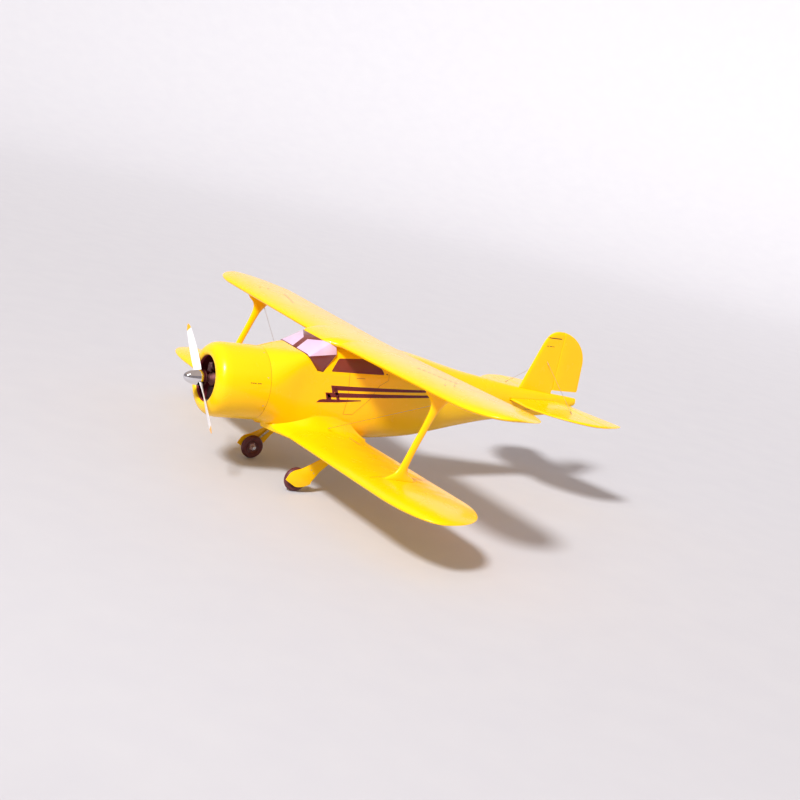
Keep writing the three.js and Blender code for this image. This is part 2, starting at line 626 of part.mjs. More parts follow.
// The cover runs down the leg and widens into a lobe over the wheel's middle.
function coverOutline() {
  const shape = new THREE.Shape();
  shape.moveTo(420, -129);
  shape.lineTo(342, -175);
  shape.quadraticCurveTo(322, -188, 306, -192);
  shape.quadraticCurveTo(292, -196, 286, -204);
  shape.lineTo(277, -221);
  shape.lineTo(308, -239);
  shape.quadraticCurveTo(330, -244, 355, -231);
  shape.quadraticCurveTo(355, -222, 362, -215);
  shape.lineTo(376, -194);
  shape.lineTo(398, -172);
  shape.lineTo(450, -129);
  shape.lineTo(420, -129);
  return shape;
}
const cover = sidePlate(coverOutline(), coverX, coverX + coverThickness);
const gearPieces = {
  gear_leg: [leg, steel], gear_cover: [cover, yellow], tyre: [tyre, maroonTyre],
  wheel_hub: [wheelHub, paleHub], axle_collar: [collar, chrome],
};
for (const [name, [geometry, finish]] of Object.entries(gearPieces)) {
  add(`${name}_port`, geometry, finish);
  add(`${name}_starboard`, mirrored(geometry), finish);
}

// Equipment on the tray

const trayTop = trayLevel + 3 + gap;
const equipment = {
  fuel_tank: [[-30, 245, trayTop], [30, 335, trayTop + 46], clearPlastic],
  flight_battery: [[-28, 350, trayTop], [28, 382, trayTop + 18], black],
  radio_receiver: [[-22, 396, trayTop], [22, 436, trayTop + 14], black],
  servo_throttle: [[-58, 470, trayTop], [-38, 511, trayTop + 38], black],
  servo_elevator: [[-10, 470, trayTop], [10, 511, trayTop + 38], black],
  servo_rudder: [[38, 470, trayTop], [58, 511, trayTop + 38], black],
};
for (const [name, [low, high, finish]] of Object.entries(equipment)) add(name, block(low, high), finish);

export default parts;
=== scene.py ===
import json
import math
from functools import partial

import bmesh
import bpy
from mathutils import Matrix, Quaternion, Vector


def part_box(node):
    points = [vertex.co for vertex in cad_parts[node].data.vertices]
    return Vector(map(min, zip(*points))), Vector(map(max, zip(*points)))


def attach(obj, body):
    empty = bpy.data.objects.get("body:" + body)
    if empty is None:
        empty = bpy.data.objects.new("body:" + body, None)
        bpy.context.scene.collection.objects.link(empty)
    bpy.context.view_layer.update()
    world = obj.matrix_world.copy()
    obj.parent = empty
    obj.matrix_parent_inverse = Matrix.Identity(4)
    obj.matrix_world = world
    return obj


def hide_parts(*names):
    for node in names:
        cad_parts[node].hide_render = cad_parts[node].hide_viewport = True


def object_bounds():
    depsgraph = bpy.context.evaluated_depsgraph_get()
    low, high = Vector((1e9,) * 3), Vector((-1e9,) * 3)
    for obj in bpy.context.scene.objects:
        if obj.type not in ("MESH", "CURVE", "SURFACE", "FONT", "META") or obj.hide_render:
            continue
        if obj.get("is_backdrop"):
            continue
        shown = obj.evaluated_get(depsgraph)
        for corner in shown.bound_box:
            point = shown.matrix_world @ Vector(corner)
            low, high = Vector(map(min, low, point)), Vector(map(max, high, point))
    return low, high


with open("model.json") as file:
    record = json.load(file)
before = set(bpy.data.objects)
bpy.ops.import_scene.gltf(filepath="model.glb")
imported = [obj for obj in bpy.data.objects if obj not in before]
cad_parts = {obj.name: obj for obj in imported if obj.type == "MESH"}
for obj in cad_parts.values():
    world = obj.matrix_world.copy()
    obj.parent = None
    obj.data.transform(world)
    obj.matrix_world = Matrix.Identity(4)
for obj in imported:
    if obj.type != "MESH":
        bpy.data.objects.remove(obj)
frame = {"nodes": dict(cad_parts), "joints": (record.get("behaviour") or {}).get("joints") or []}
cadLow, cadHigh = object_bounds()
scene = bpy.context.scene

# Lengths below are millimetres, measured aft from the spinner's tip, out from the centre line and up from
# the thrust line. place() turns them into the frame's metres.
mm = 0.001
spinnerLow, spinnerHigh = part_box("spinner")
nose = spinnerLow.y
thrust = (spinnerLow.z + spinnerHigh.z) / 2
sides = {"port": 1, "starboard": -1}


def place(x, y, z):
    return Vector((x * mm, nose + y * mm, thrust + z * mm))


def boxOf(node):
    low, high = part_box(node)
    shift = Vector((0, nose, thrust))
    return (low - shift) / mm, (high - shift) / mm


def centreOf(node):
    low, high = boxOf(node)
    return (low + high) / 2


def hingeOf(jointName):
    joint = next(j for j in frame["joints"] if j["name"] == jointName)
    pivot = (Vector(joint["pos_m"]) - Vector((0, nose, thrust))) / mm
    return pivot, Vector(joint["axis"]).normalized()


# Shader helpers

class Signal:
    # a number that varies over a surface, so that maths on it adds Math nodes
    def __init__(self, finish, socket):
        self.finish = finish
        self.socket = socket

    def maths(self, operation, *values):
        node = self.finish.add("ShaderNodeMath", {"operation": operation}, dict(enumerate(values)))
        return Signal(self.finish, node.outputs[0])

    def __add__(self, other):
        return self.maths("ADD", self, other)

    def __mul__(self, other):
        return self.maths("MULTIPLY", self, other)

    __radd__ = __add__
    __rmul__ = __mul__

    def above(self, edge, soft=0.0005):
        settings = {"interpolation_type": "SMOOTHSTEP"}
        sockets = {"Value": self, "From Min": edge - soft, "From Max": edge + soft}
        return Signal(self.finish, self.finish.add("ShaderNodeMapRange", settings, sockets).outputs[0])


class Finish:
    # one material, with its Principled shader and the object's own coordinates
    def __init__(self, name, **shader):
        self.material = bpy.data.materials.new(name)
        self.material.use_nodes = True
        self.tree = self.material.node_tree
        self.shader = self.tree.nodes["Principled BSDF"]
        for socket, value in shader.items():
            self.shader.inputs[socket.replace("_", " ")].default_value = value
        self.where = self.add("ShaderNodeTexCoord").outputs["Object"]

    def add(self, kind, settings=None, sockets=None):
        node = self.tree.nodes.new(kind)
        for setting, value in (settings or {}).items():
            setattr(node, setting, value)
        for socket, value in (sockets or {}).items():
            self.feed(node.inputs[socket], value)
        return node

    def feed(self, socket, value):
        if isinstance(value, Signal):
            value = value.socket
        if isinstance(value, bpy.types.NodeSocket):
            self.tree.links.new(value, socket)
        else:
            socket.default_value = value

    def set(self, socket, value):
        self.feed(self.shader.inputs[socket], value)
        return self

    def noise(self, scale, detail=3.0, rough=0.5, stretch=(1, 1, 1)):
        where = self.add("ShaderNodeVectorMath", {"operation": "MULTIPLY"}, {0: self.where, 1: stretch})
        sockets = {"Vector": where.outputs[0], "Scale": scale, "Detail": detail, "Roughness": rough}
        return Signal(self, self.add("ShaderNodeTexNoise", None, sockets).outputs["Fac"])

    def waves(self, scale, direction, distortion=0.0):
        settings = {"wave_type": "BANDS", "bands_direction": direction}
        sockets = {"Vector": self.where, "Scale": scale, "Distortion": distortion}
        return Signal(self, self.add("ShaderNodeTexWave", settings, sockets).outputs["Fac"])

    def distance(self, point, stretch=(1, 1, 1)):
        away = self.add("ShaderNodeVectorMath", {"operation": "SUBTRACT"}, {0: self.where, 1: point})
        scaled = self.add("ShaderNodeVectorMath", {"operation": "MULTIPLY"}, {0: away.outputs[0], 1: stretch})
        length = self.add("ShaderNodeVectorMath", {"operation": "LENGTH"}, {0: scaled.outputs[0]})
        return Signal(self, length.outputs["Value"])

    def mix(self, factor, first, second):
        node = self.add("ShaderNodeMix", {"data_type": "RGBA"}, {0: factor, 6: first, 7: second})
        return node.outputs[2]

    def bump(self, height, strength, distance):
        sockets = {"Height": height, "Strength": strength, "Distance": distance}
        return self.set("Normal", self.add("ShaderNodeBump", None, sockets).outputs["Normal"])


def rgb(red, green, blue):
    return (red, green, blue, 1.0)


paint = {
    "yellow": rgb(1.0, 0.63, 0.001),
    "deepYellow": rgb(1.0, 0.52, 0.001),
    "maroon": rgb(0.15, 0.010, 0.012),
    "deepMaroon": rgb(0.11, 0.008, 0.010),
    "lining": rgb(0.30, 0.028, 0.045),
    "deepLining": rgb(0.20, 0.018, 0.030),
    "tint": rgb(0.20, 0.032, 0.026),
    "deepTint": rgb(0.13, 0.022, 0.018),
    # lavender of the front panes: a painted reflection of the sky, with paler painted reflection streaks
    "paneReflection": rgb(0.60, 0.34, 0.56),
    "paneReflectionLight": rgb(0.80, 0.62, 0.78),
    "white": rgb(0.86, 0.84, 0.85),
    "tip": rgb(0.95, 0.42, 0.01),
    "tyre": rgb(0.085, 0.011, 0.016),
    "tyreDust": rgb(0.14, 0.034, 0.038),
    "hub": rgb(0.55, 0.36, 0.34),
}


def yellowGloss():
    f = Finish("yellow_gloss", Coat_Weight=0.2, Coat_Roughness=0.05, Specular_IOR_Level=0.2)
    drift = f.noise(3.2, 3)
    cloud = f.noise(22, 4, 0.6)
    tone = drift * 0.7 + cloud * 0.3
    f.set("Base Color", f.mix(tone, paint["yellow"], paint["deepYellow"]))
    f.set("Roughness", cloud * 0.12 + 0.2)
    return f.bump(f.noise(420, 2) * 0.6 + f.noise(60, 2) * 0.4, 0.06, 0.0006).material


def cowlInside():
    f = Finish("cowl_inside", Coat_Weight=0.1)
    soot = f.noise(30, 5, 0.65)
    f.set("Base Color", f.mix(soot, paint["deepLining"], paint["lining"]))
    f.set("Roughness", soot * 0.3 + 0.45)
    return f.bump(f.noise(260, 3), 0.12, 0.0006).material


def whitePropeller():
    f = Finish("white_propeller", Coat_Weight=0.4, Coat_Roughness=0.1)
    radius = f.distance(hub(), (1, 0, 1))
    tip = radius.above(propeller["tipFrom"] * mm)
    scuff = f.noise(90, 4, 0.6, (1, 3, 1))
    body = f.mix(scuff * 0.35, paint["white"], rgb(0.70, 0.66, 0.68))
    f.set("Base Color", f.mix(tip, body, paint["tip"]))
    f.set("Roughness", scuff * 0.2 + 0.24)
    return f.bump(f.noise(300, 2), 0.05, 0.0004).material


def metal(name, tone, roughness, grain, scale=140, stretch=(1, 1, 1)):
    f = Finish(name, Metallic=1.0)
    scratch = f.noise(scale, 4, 0.6, stretch)
    worn = rgb(*(channel * 0.72 for channel in tone))
    f.set("Base Color", f.mix(scratch, rgb(*tone), worn))
    f.set("Roughness", scratch * grain + roughness)
    return f.bump(scratch, 0.8 * grain, 0.0003).material


# Near-black metal with a maroon tint: painted shade, so the engine parts sink into the shaded cowl interior;
# the noise adds random soot mottling.
def shadedDarkCasting():
    f = Finish("dark_metal", Metallic=0.6)
    soot = f.noise(110, 4)
    f.set("Base Color", f.mix(soot, rgb(0.05, 0.018, 0.02), rgb(0.11, 0.045, 0.048)))
    f.set("Roughness", soot * 0.25 + 0.4)
    return f.bump(f.noise(500, 2), 0.25, 0.0005).material


def blackNylon():
    f = Finish("black_nylon")
    grain = f.noise(700, 2)
    f.set("Base Color", f.mix(grain, rgb(0.016, 0.016, 0.018), rgb(0.035, 0.035, 0.038)))
    f.set("Roughness", grain * 0.2 + 0.45)
    return f.bump(grain, 0.2, 0.0004).material


def birchPly():
    f = Finish("birch_ply")
    figure = f.noise(26, 5, 0.6, (7, 1, 7))
    plies = f.waves(300, "Y", 1.5)
    tone = figure * 0.75 + plies * 0.25
    f.set("Base Color", f.mix(tone, rgb(0.66, 0.47, 0.28), rgb(0.42, 0.26, 0.13)))
    f.set("Roughness", figure * 0.2 + 0.55)
    return f.bump(figure, 0.15, 0.0005).material


def tintedScreen():
    f = Finish("tinted_screen", Coat_Weight=0.3, Coat_Roughness=0.04)
    cloud = f.noise(12, 2)
    f.set("Base Color", f.mix(cloud, paint["tint"], paint["deepTint"]))
    f.set("Roughness", f.noise(40, 3) * 0.08 + 0.12)
    return f.bump(f.noise(25, 1), 0.04, 0.001).material


# Front panes: base colour painted with a lavender sky reflection and paler streaks of it.
def paneSkyReflection():
    f = Finish("front_pane_painted_reflection", Coat_Weight=0.8, Coat_Roughness=0.04)
    reflectionStreak = f.noise(9, 2, 0.4, (1, 2.4, 1))
    f.set("Base Color", f.mix(reflectionStreak, paint["paneReflection"], paint["paneReflectionLight"]))
    f.set("Roughness", f.noise(40, 2) * 0.08 + 0.1)
    return f.bump(f.noise(20, 1), 0.03, 0.001).material


def tyreRubber():
    f = Finish("tyre_rubber")
    dust = f.noise(160, 4, 0.6)
    f.set("Base Color", f.mix(dust * 0.6, paint["tyre"], paint["tyreDust"]))
    f.set("Roughness", dust * 0.25 + 0.38)
    return f.bump(f.noise(900, 2), 0.2, 0.0004).material


def hubPlastic():
    f = Finish("hub_plastic", Coat_Weight=0.2)
    cloud = f.noise(120, 3)
    wheel = centreOf("tyre_port")
    rim = f.distance(place(0, wheel.y, wheel.z), (0, 1, 1)).above(wheels["paleTo"] * mm)
    pale = f.mix(cloud, paint["hub"], rgb(0.42, 0.24, 0.23))
    f.set("Base Color", f.mix(rim, pale, f.mix(cloud, paint["tyre"], paint["tyreDust"])))
    f.set("Roughness", cloud * 0.15 + 0.3)
    return f.bump(f.noise(500, 2), 0.08, 0.0004).material


def milkyPlastic():
    f = Finish("clear_plastic", Coat_Weight=0.2, Subsurface_Weight=0.2)
    cloud = f.noise(50, 3)
    f.set("Base Color", f.mix(cloud, rgb(0.8, 0.77, 0.68), rgb(0.68, 0.63, 0.52)))
    f.set("Roughness", cloud * 0.2 + 0.3)
    return f.bump(f.noise(200, 2), 0.08, 0.0005).material


def vinyl(name, colour, edge):
    f = Finish(name, Coat_Weight=0.15, Coat_Roughness=0.08, Specular_IOR_Level=0.3)
    cloud = f.noise(60, 3)
    f.set("Base Color", f.mix(cloud, colour, edge))
    f.set("Roughness", cloud * 0.1 + 0.24)
    return f.bump(f.noise(300, 2), 0.05, 0.0004).material


# The propeller and the wheels, whose finishes need some of the same sizes
propeller = {
    "radius": 176, "plane": 46, "angle": -50, "tipFrom": 158, "rootFrom": 6, "advance": 38, "advanceFrom": 12,
    "tipRoundFrom": 0.86, "halfWidth": 7.5, "bulge": 6, "thick": 3.5, "taper": 2.6, "rings": 36, "around": 28,
}
wheels = {"paleTo": 9.2}


def hub():
    return place(0, propeller["plane"], 0)


print("making the finishes")
finishes = {
    "yellow": yellowGloss(),
    "cowlInside": cowlInside(),
    "propeller": whitePropeller(),
    "chrome": metal("chrome_plate", (0.86, 0.85, 0.88), 0.03, 0.04, 30),
    "aluminium": metal("aluminium", (0.62, 0.62, 0.64), 0.28, 0.2),
    # dark maroon-tinted metal for the crankcase and spinner backplate: painted shade of the cowl's interior
    "casting": metal("shaded_casting", (0.20, 0.08, 0.08), 0.5, 0.25),
    "steel": metal("steel", (0.55, 0.54, 0.56), 0.22, 0.15, 260, (1, 1, 4)),
    "dark": shadedDarkCasting(),
    "nylon": blackNylon(),
    "ply": birchPly(),
    "tint": tintedScreen(),
    "paneReflection": paneSkyReflection(),
    "tyre": tyreRubber(),
    "hub": hubPlastic(),
    "milky": milkyPlastic(),
    "maroon": vinyl("maroon_vinyl", paint["maroon"], paint["deepMaroon"]),
    "seam": vinyl("seam_shadow", rgb(0.36, 0.14, 0.006), rgb(0.22, 0.08, 0.004)),
}


# Mesh helpers

def lerp(a, b, share):
    return a + (b - a) * share


def smooth(share):
    share = min(1.0, max(0.0, share))
    return share * share * (3 - 2 * share)


def loft(bm, rings, ends=True):
    rows = [[bm.verts.new(point) for point in ring] for ring in rings]
    count = len(rows[0])
    for row, following in zip(rows, rows[1:]):
        for i in range(count):
            j = (i + 1) % count
            bm.faces.new((row[i], row[j], following[j], following[i]))
    if ends:
        bm.faces.new(rows[0])
        bm.faces.new(rows[-1])
    return rows


# A body of revolution about a line through centre. Profile points are [radius, distance along the axis].
def turned(bm, profile, centre, axis="Y", steps=64, closed=False):
    points = profile + profile[:1] if closed else profile
    rings = []
    for radius, along in points:
        ring = []
        for i in range(steps):
            angle = 2 * math.pi * i / steps
            c, s = radius * math.cos(angle), radius * math.sin(angle)
            offset = {"Y": (c, along, s), "X": (along, c, s), "Z": (c, s, along)}[axis]
            ring.append(place(*(Vector(centre) + Vector(offset))))
        rings.append(ring)
    loft(bm, rings, ends=False)


# A whole wheel's profile from the half on one side of its middle.
def bothFaces(half):
    return half + [[radius, -along] for radius, along in reversed(half) if along]


def tube(bm, points, radius, around=12, ends=True):
    points = [Vector(point) for point in points]
    radii = radius if isinstance(radius, (list, tuple)) else [radius] * len(points)
    ahead = (points[1] - points[0]).normalized()
    side = ahead.orthogonal().normalized()
    rings = []
    for i, point in enumerate(points):
        before, after = points[max(0, i - 1)], points[min(len(points) - 1, i + 1)]
        ahead = (after - before).normalized()
        side = (side - ahead * side.dot(ahead)).normalized()
        up = ahead.cross(side)
        ring = []
        for k in range(around):
            angle = 2 * math.pi * k / around
            offset = (side * math.cos(angle) + up * math.sin(angle)) * radii[i]
            ring.append(place(*(point + offset)))
        rings.append(ring)
    loft(bm, rings, ends)


# A smooth curve through points, for bent wires and outlines.
def through(points, steps=8):
    points = [Vector(point) for point in points]
    padded = [points[0] * 2 - points[1]] + points + [points[-1] * 2 - points[-2]]
    curve = []
    for a, b, c, d in zip(padded, padded[1:], padded[2:], padded[3:]):
        for i in range(steps):
            t = i / steps
            curve.append(((b * 2) + (c - a) * t + (a * 2 - b * 5 + c * 4 - d) * t * t
                          + (b * 3 - a - c * 3 + d) * t ** 3) / 2)
    return curve + [points[-1]]


def finishMesh(name, bm, sharp=34):
    bmesh.ops.remove_doubles(bm, verts=bm.verts, dist=0.000004)
    bmesh.ops.dissolve_degenerate(bm, dist=0.000004, edges=bm.edges)
    bmesh.ops.recalc_face_normals(bm, faces=bm.faces)
    mesh = bpy.data.meshes.new(name)
    bm.to_mesh(mesh)
    bm.free()
    shade(mesh, sharp)
    return mesh


def shade(mesh, sharp=34):
    mesh.shade_smooth()
    mesh.set_sharp_from_angle(angle=math.radians(sharp))


def addPiece(name, mesh, body, material, replaced=()):
    piece = bpy.data.objects.new(name, mesh)
    scene.collection.objects.link(piece)
    if not mesh.materials:
        mesh.materials.append(material)
    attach(piece, body)
    if replaced:
        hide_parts(*replaced)
    return piece


def mirroredMesh(mesh, name):
    twin = mesh.copy()
    twin.name = name
    twin.transform(Matrix.Scale(-1, 4, Vector((1, 0, 0))))
    twin.flip_normals()
    return twin


# The port meshes as they are, or mirrored for the starboard side.
def onSide(side, *meshes):
    return list(meshes) if side > 0 else [mirroredMesh(mesh, "twin") for mesh in meshes]


def useModifier(piece, kind, **settings):
    modifier = piece.modifiers.new("work", kind)
    for setting, value in settings.items():
        setattr(modifier, setting, value)
    depsgraph = bpy.context.evaluated_depsgraph_get()
    mesh = bpy.data.meshes.new_from_object(piece.evaluated_get(depsgraph))
    piece.modifiers.remove(modifier)
    old = piece.data
    piece.data = mesh
    bpy.data.meshes.remove(old)


def carve(mesh, cutters, operation="DIFFERENCE"):
    worked = bpy.data.objects.new("worked", mesh)
    scene.collection.objects.link(worked)
    for cutter in cutters:
        tool = bpy.data.objects.new("cutter", cutter)
        scene.collection.objects.link(tool)
        useModifier(worked, "BOOLEAN", operation=operation, object=tool, solver="MANIFOLD")
        bpy.data.objects.remove(tool)
    result = worked.data
    result.materials.clear()
    bpy.data.objects.remove(worked)
    return result


def prism(name, outline, low, high, axis="X"):
    bm = bmesh.new()
    rings = []
    for level in (low, high):
        rings.append([place(level, a, b) if axis == "X" else place(a, b, level) for a, b in outline])
    loft(bm, rings)
    return finishMesh(name, bm)


def softenEdges(piece, width, segments=2, angle=40):
    useModifier(piece, "BEVEL", width=width * mm, segments=segments, limit_method="ANGLE",
                angle_limit=math.radians(angle), use_clamp_overlap=True)
    shade(piece.data, 50)


# Camera, first, then the light

view = {
    "azimuth": 56.316, "elevation": 11.766, "roll": 12.763, "lens": 64.4,
    "place": (3379.7, -1566.6, 832.5),
}


def addCamera():
    camera = bpy.data.objects.new("camera", bpy.data.cameras.new("camera"))
    camera.data.lens = view["lens"]
    camera.data.clip_end = 500
    azimuth, elevation = math.radians(view["azimuth"]), math.radians(view["elevation"])
    back = Vector((math.sin(azimuth) * math.cos(elevation), -math.cos(azimuth) * math.cos(elevation),
                   math.sin(elevation)))
    turn = (-back).to_track_quat("-Z", "Y") @ Quaternion((0, 0, 1), math.radians(view["roll"]))
    camera.matrix_world = Matrix.Translation(place(*view["place"])) @ turn.to_matrix().to_4x4()
    scene.collection.objects.link(camera)
    scene.camera = camera


studio = {
    "floorRadius": 7.5, "bendRadius": 5, "wall": 3, "floorGap": 0.0005,
    "floor": rgb(0.56, 0.56, 0.59), "floorGrain": rgb(0.53, 0.53, 0.57),
    "sky": rgb(1.0, 0.83, 0.74), "skyStrength": 0.55,
    "sun": {"from": (1.5, -2.2, 2.6), "strength": 3.9, "softness": 9},
    "strip": {"from": (1.6, -2.6, 2.4), "wide": 0.5, "long": 2.6, "energy": 22},
}


def addLight(name, kind, settings, start):
    light = bpy.data.lights.new(name, kind)
    for setting, value in settings.items():
        setattr(light, setting, value)
    holder = bpy.data.objects.new(name, light)
    holder.location = start
    holder.rotation_mode = "QUATERNION"
    aim = Vector((0, 0, (cadLow.z + cadHigh.z) / 2))
    holder.rotation_quaternion = (aim - Vector(start)).to_track_quat("-Z", "Y")
    scene.collection.objects.link(holder)


def addStudio():
    flat, bend = studio["floorRadius"], studio["bendRadius"]
    profile = [(0, 0), (flat / 2, 0), (flat, 0)]
    for i in range(1, 17):
        angle = math.pi / 2 * i / 16
        profile.append((flat + bend * math.sin(angle), bend * (1 - math.cos(angle))))
    profile.append((flat + bend, bend + studio["wall"]))
    rings = []
    for radius, up in profile:
        angles = [2 * math.pi * i / 96 for i in range(96)]
        height = cadLow.z - studio["floorGap"] + up
        rings.append([Vector((radius * math.cos(t), radius * math.sin(t), height)) for t in angles])
    bm = bmesh.new()
    loft(bm, rings, ends=False)
    floor = bpy.data.objects.new("floor", finishMesh("floor", bm, 60))
    scene.collection.objects.link(floor)
    f = Finish("floor")
    grain = f.noise(8, 3)
    f.set("Base Color", f.mix(grain, studio["floor"], studio["floorGrain"]))
    f.set("Roughness", grain * 0.1 + 0.7)
    floor.data.materials.append(f.material)
    floor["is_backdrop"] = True
    world = bpy.data.worlds.new("studio")
    world.use_nodes = True
    background = world.node_tree.nodes["Background"]
    background.inputs["Color"].default_value = studio["sky"]
    background.inputs["Strength"].default_value = studio["skyStrength"]
    scene.world = world
    sun, strip = studio["sun"], studio["strip"]
    addLight("sun", "SUN", {"energy": sun["strength"], "angle": math.radians(sun["softness"])}, sun["from"])
    size = {"shape": "RECTANGLE", "size": strip["wide"], "size_y": strip["long"], "energy": strip["energy"]}
    addLight("strip", "AREA", size, strip["from"])
    scene.view_settings.view_transform = "Standard"


# Fuselage: distance aft, half width, top, bottom, corner sharpness above and below, widest level, lean

fuselage = {
    "stations": [
        [209.6, 101, 101, -101, 2, 2, 0, 0],
        [240, 99, 105.5, -107, 2.8, 2.2, -2, 0],
        [275, 95.5, 109.5, -113, 4.6, 2.6, -4, 0],
        [309, 91.5, 112, -118, 8, 3, -5, 0],
        [350, 90, 130, -123, 8, 3.2, -5, 0.12],
        [392, 90, 146, -127, 8, 3.2, -5, 0.2],
        [460, 90, 146, -128, 7, 3.2, -5, 0.2],
        [540, 89, 142, -127.5, 6, 3, -4, 0.2],
        [600, 87, 137, -125, 4.5, 2.8, -2, 0.16],
        [640, 85, 132, -122.5, 3.6, 2.6, 0, 0.12],
        [710, 80, 122, -115, 2.7, 2.4, 3, 0.05],
        [790, 70, 106, -98, 2.3, 2.3, 5, 0],
        [880, 57, 89.5, -76, 2.1, 2.2, 8, 0],
        [980, 43, 76, -54, 2, 2.1, 12, 0],
        [1080, 31, 63, -38, 2, 2, 14, 0],
        [1180, 21, 54, -25, 2, 2, 16, 0],
        [1235, 16, 49, -17, 2, 2, 18, 0],
        [1290, 11, 44.5, 2, 2, 2, 24, 0],
        [1326, 7, 41, 18, 2, 2, 29, 0],
    ],
    "skin": 2.6, "hollowTo": 1100, "leanFrom": 66, "leanOver": 82, "around": 112, "pitch": 9,
}


# The slope of a curve through the stations that never overshoots them.
def monotoneSlopes(xs, ys):
    steps = [(b - a) / (d - c) for a, b, c, d in zip(ys, ys[1:], xs, xs[1:])]
    slopes = [steps[0]]
    for a, b in zip(steps, steps[1:]):
        slopes.append(0 if a * b <= 0 else 2 * a * b / (a + b))
    return slopes + [steps[-1]]


stationYs = [row[0] for row in fuselage["stations"]]
stationColumns = [list(column) for column in zip(*fuselage["stations"])]
stationSlopes = [monotoneSlopes(stationYs, column) for column in stationColumns]


def stationAt(y):
    y = min(max(y, stationYs[0]), stationYs[-1])
    i = max(k for k in range(len(stationYs) - 1) if stationYs[k] <= y)
    width = stationYs[i + 1] - stationYs[i]
    t = (y - stationYs[i]) / width
    values = []
    for column, slopes in zip(stationColumns, stationSlopes):
        a, b = column[i], column[i + 1]
        p, q = slopes[i] * width, slopes[i + 1] * width
        values.append(a + (p + (3 * (b - a) - 2 * p - q + (p + q - 2 * (b - a)) * t) * t) * t)
    return values


def leanAt(station, z):
    return 1 - station[7] * min(1, max(0, (z - fuselage["leanFrom"]) / fuselage["leanOver"]))


def fuselageRing(y, inset, around):
    station = stationAt(y)
    _, half, top, bottom, up, down, middle, _ = station
    ring = []
    for i in range(around):
        angle = 2 * math.pi * i / around
        c, s = math.cos(angle), math.sin(angle)
        n = up if s > 0 else down
        width, height = half - inset, (top - middle if s > 0 else middle - bottom) - inset
        reach = (abs(c / width) ** n + abs(s / height) ** n) ** (-1 / n)
        z = middle + reach * s
        ring.append(Vector((reach * c * leanAt(station, z), y, z)))
    return ring


# How far out the fuselage's side is, at a distance aft and a level.
def skinX(y, z):
    station = stationAt(y)
    _, half, top, bottom, up, down, middle, _ = station
    n, height = (up, top - middle) if z > middle else (down, middle - bottom)
    share = min(0.999, abs(z - middle) / height)
    return half * (1 - share ** n) ** (1 / n) * leanAt(station, z)


# A thin piece of an outline in [y, z] that follows the fuselage's side, proud of it by lift.
def sidePatch(bm, outline, side, lift=0.35, thickness=0.5, pitch=6, skin=skinX):
    flat = bmesh.new()
    flat.faces.new([flat.verts.new((0, y, z)) for y, z in outline])
    for axis, normal in ((1, (0, 1, 0)), (2, (0, 0, 1))):
        values = [point[axis - 1] for point in outline]
        level = min(values) + pitch
        while level < max(values):
            cut = [0, 0, 0]
            cut[axis] = level
            everything = list(flat.verts) + list(flat.edges) + list(flat.faces)
            bmesh.ops.bisect_plane(flat, geom=everything, plane_co=cut, plane_no=normal, dist=1e-4)
            level += pitch
    outer, inner = {}, {}
    for v in flat.verts:
        x = skin(v.co.y, v.co.z)
        outer[v] = bm.verts.new(place(side * (x + lift), v.co.y, v.co.z))
        inner[v] = bm.verts.new(place(side * (x + lift - thickness), v.co.y, v.co.z))
    for face in flat.faces:
        bm.faces.new([outer[v] for v in face.verts])
        bm.faces.new([inner[v] for v in reversed(face.verts)])
    for edge in flat.edges:
        if len(edge.link_faces) == 1:
            a, b = edge.verts
            bm.faces.new((outer[a], outer[b], inner[b], inner[a]))
    flat.free()


def rounded(outline, radius, steps=4):
    points = []
    count = len(outline)
    for i in range(count):
        before, here, after = (Vector(outline[(i + k) % count]) for k in (-1, 0, 1))
        reach = min(radius, (before - here).length / 2.2, (after - here).length / 2.2)
        start = here + (before - here).normalized() * reach
        end = here + (after - here).normalized() * reach
        for k in range(steps + 1):
            t = k / steps
            points.append(tuple(start * (1 - t) ** 2 + here * 2 * t * (1 - t) + end * t * t))
    return points


# Wings

def halfThickness(along, thickness):
    return 5 * thickness * (0.2969 * math.sqrt(along) - 0.126 * along - 0.3516 * along ** 2
                            + 0.2843 * along ** 3 - 0.1015 * along ** 4)


def camberLine(along, camber):
    if along < 0.4:
        return camber * (0.8 * along - along ** 2) / 0.16
    return camber * (0.2 + 0.8 * along - along ** 2) / 0.36


wings = {
    "upper": {
        "chord": 236, "level": 146.6, "incidence": 2.4, "dihedral": 0.017, "tipLength": 160, "tipApex": 0.4,
        "tipRise": 9, "thickness": 0.12, "camber": 0.02, "ribPitch": 79, "sag": 0.55,
        "surface": "aileron", "hinge": 0.76,
    },
    "lower": {
        "chord": 255, "level": -110, "incidence": 1.5, "dihedral": 0.016, "tipLength": 188, "tipApex": 0.33,
        "tipRise": -4, "thickness": 0.12, "camber": 0.02, "ribPitch": 74, "sag": 0.55,
        "surface": "flap", "hinge": 0.8,
    },
}
for wingName, wing in wings.items():
    low, high = boxOf(f"{wingName}_wing_port")
    wing.update(root=low.x, leadingEdge=low.y, halfSpan=high.x)
    low, high = boxOf(f"{wing['surface']}_port")
    wing.update({"from": low.x, "to": high.x})


# A point of a wing, from fractions of its chord along and up. Scale shrinks the section at a rounded tip.
def onWing(wing, x, along, height, scale=1.0, tilted=True):
    pitch = math.radians(wing["incidence"])
    y, z = along * wing["chord"], height * wing["chord"]
    turnedY = wing["leadingEdge"] + y * math.cos(pitch) + z * math.sin(pitch)
    turnedZ = wing["level"] - y * math.sin(pitch) + z * math.cos(pitch)
    apexY = wing["leadingEdge"] + wing["tipApex"] * wing["chord"]
    apexZ = wing["level"] - (apexY - wing["leadingEdge"]) * math.sin(pitch)
    y = apexY + (turnedY - apexY) * scale
    z = apexZ + (turnedZ - apexZ) * scale + wing["tipRise"] * (1 - scale)
    if not tilted:
        return Vector((x, y, z))
    lean, out, rise = wing["dihedral"], x - wing["root"], z - wing["level"]
    return Vector((wing["root"] + out * math.cos(lean) - rise * math.sin(lean), y,
                   wing["level"] + out * math.sin(lean) + rise * math.cos(lean)))


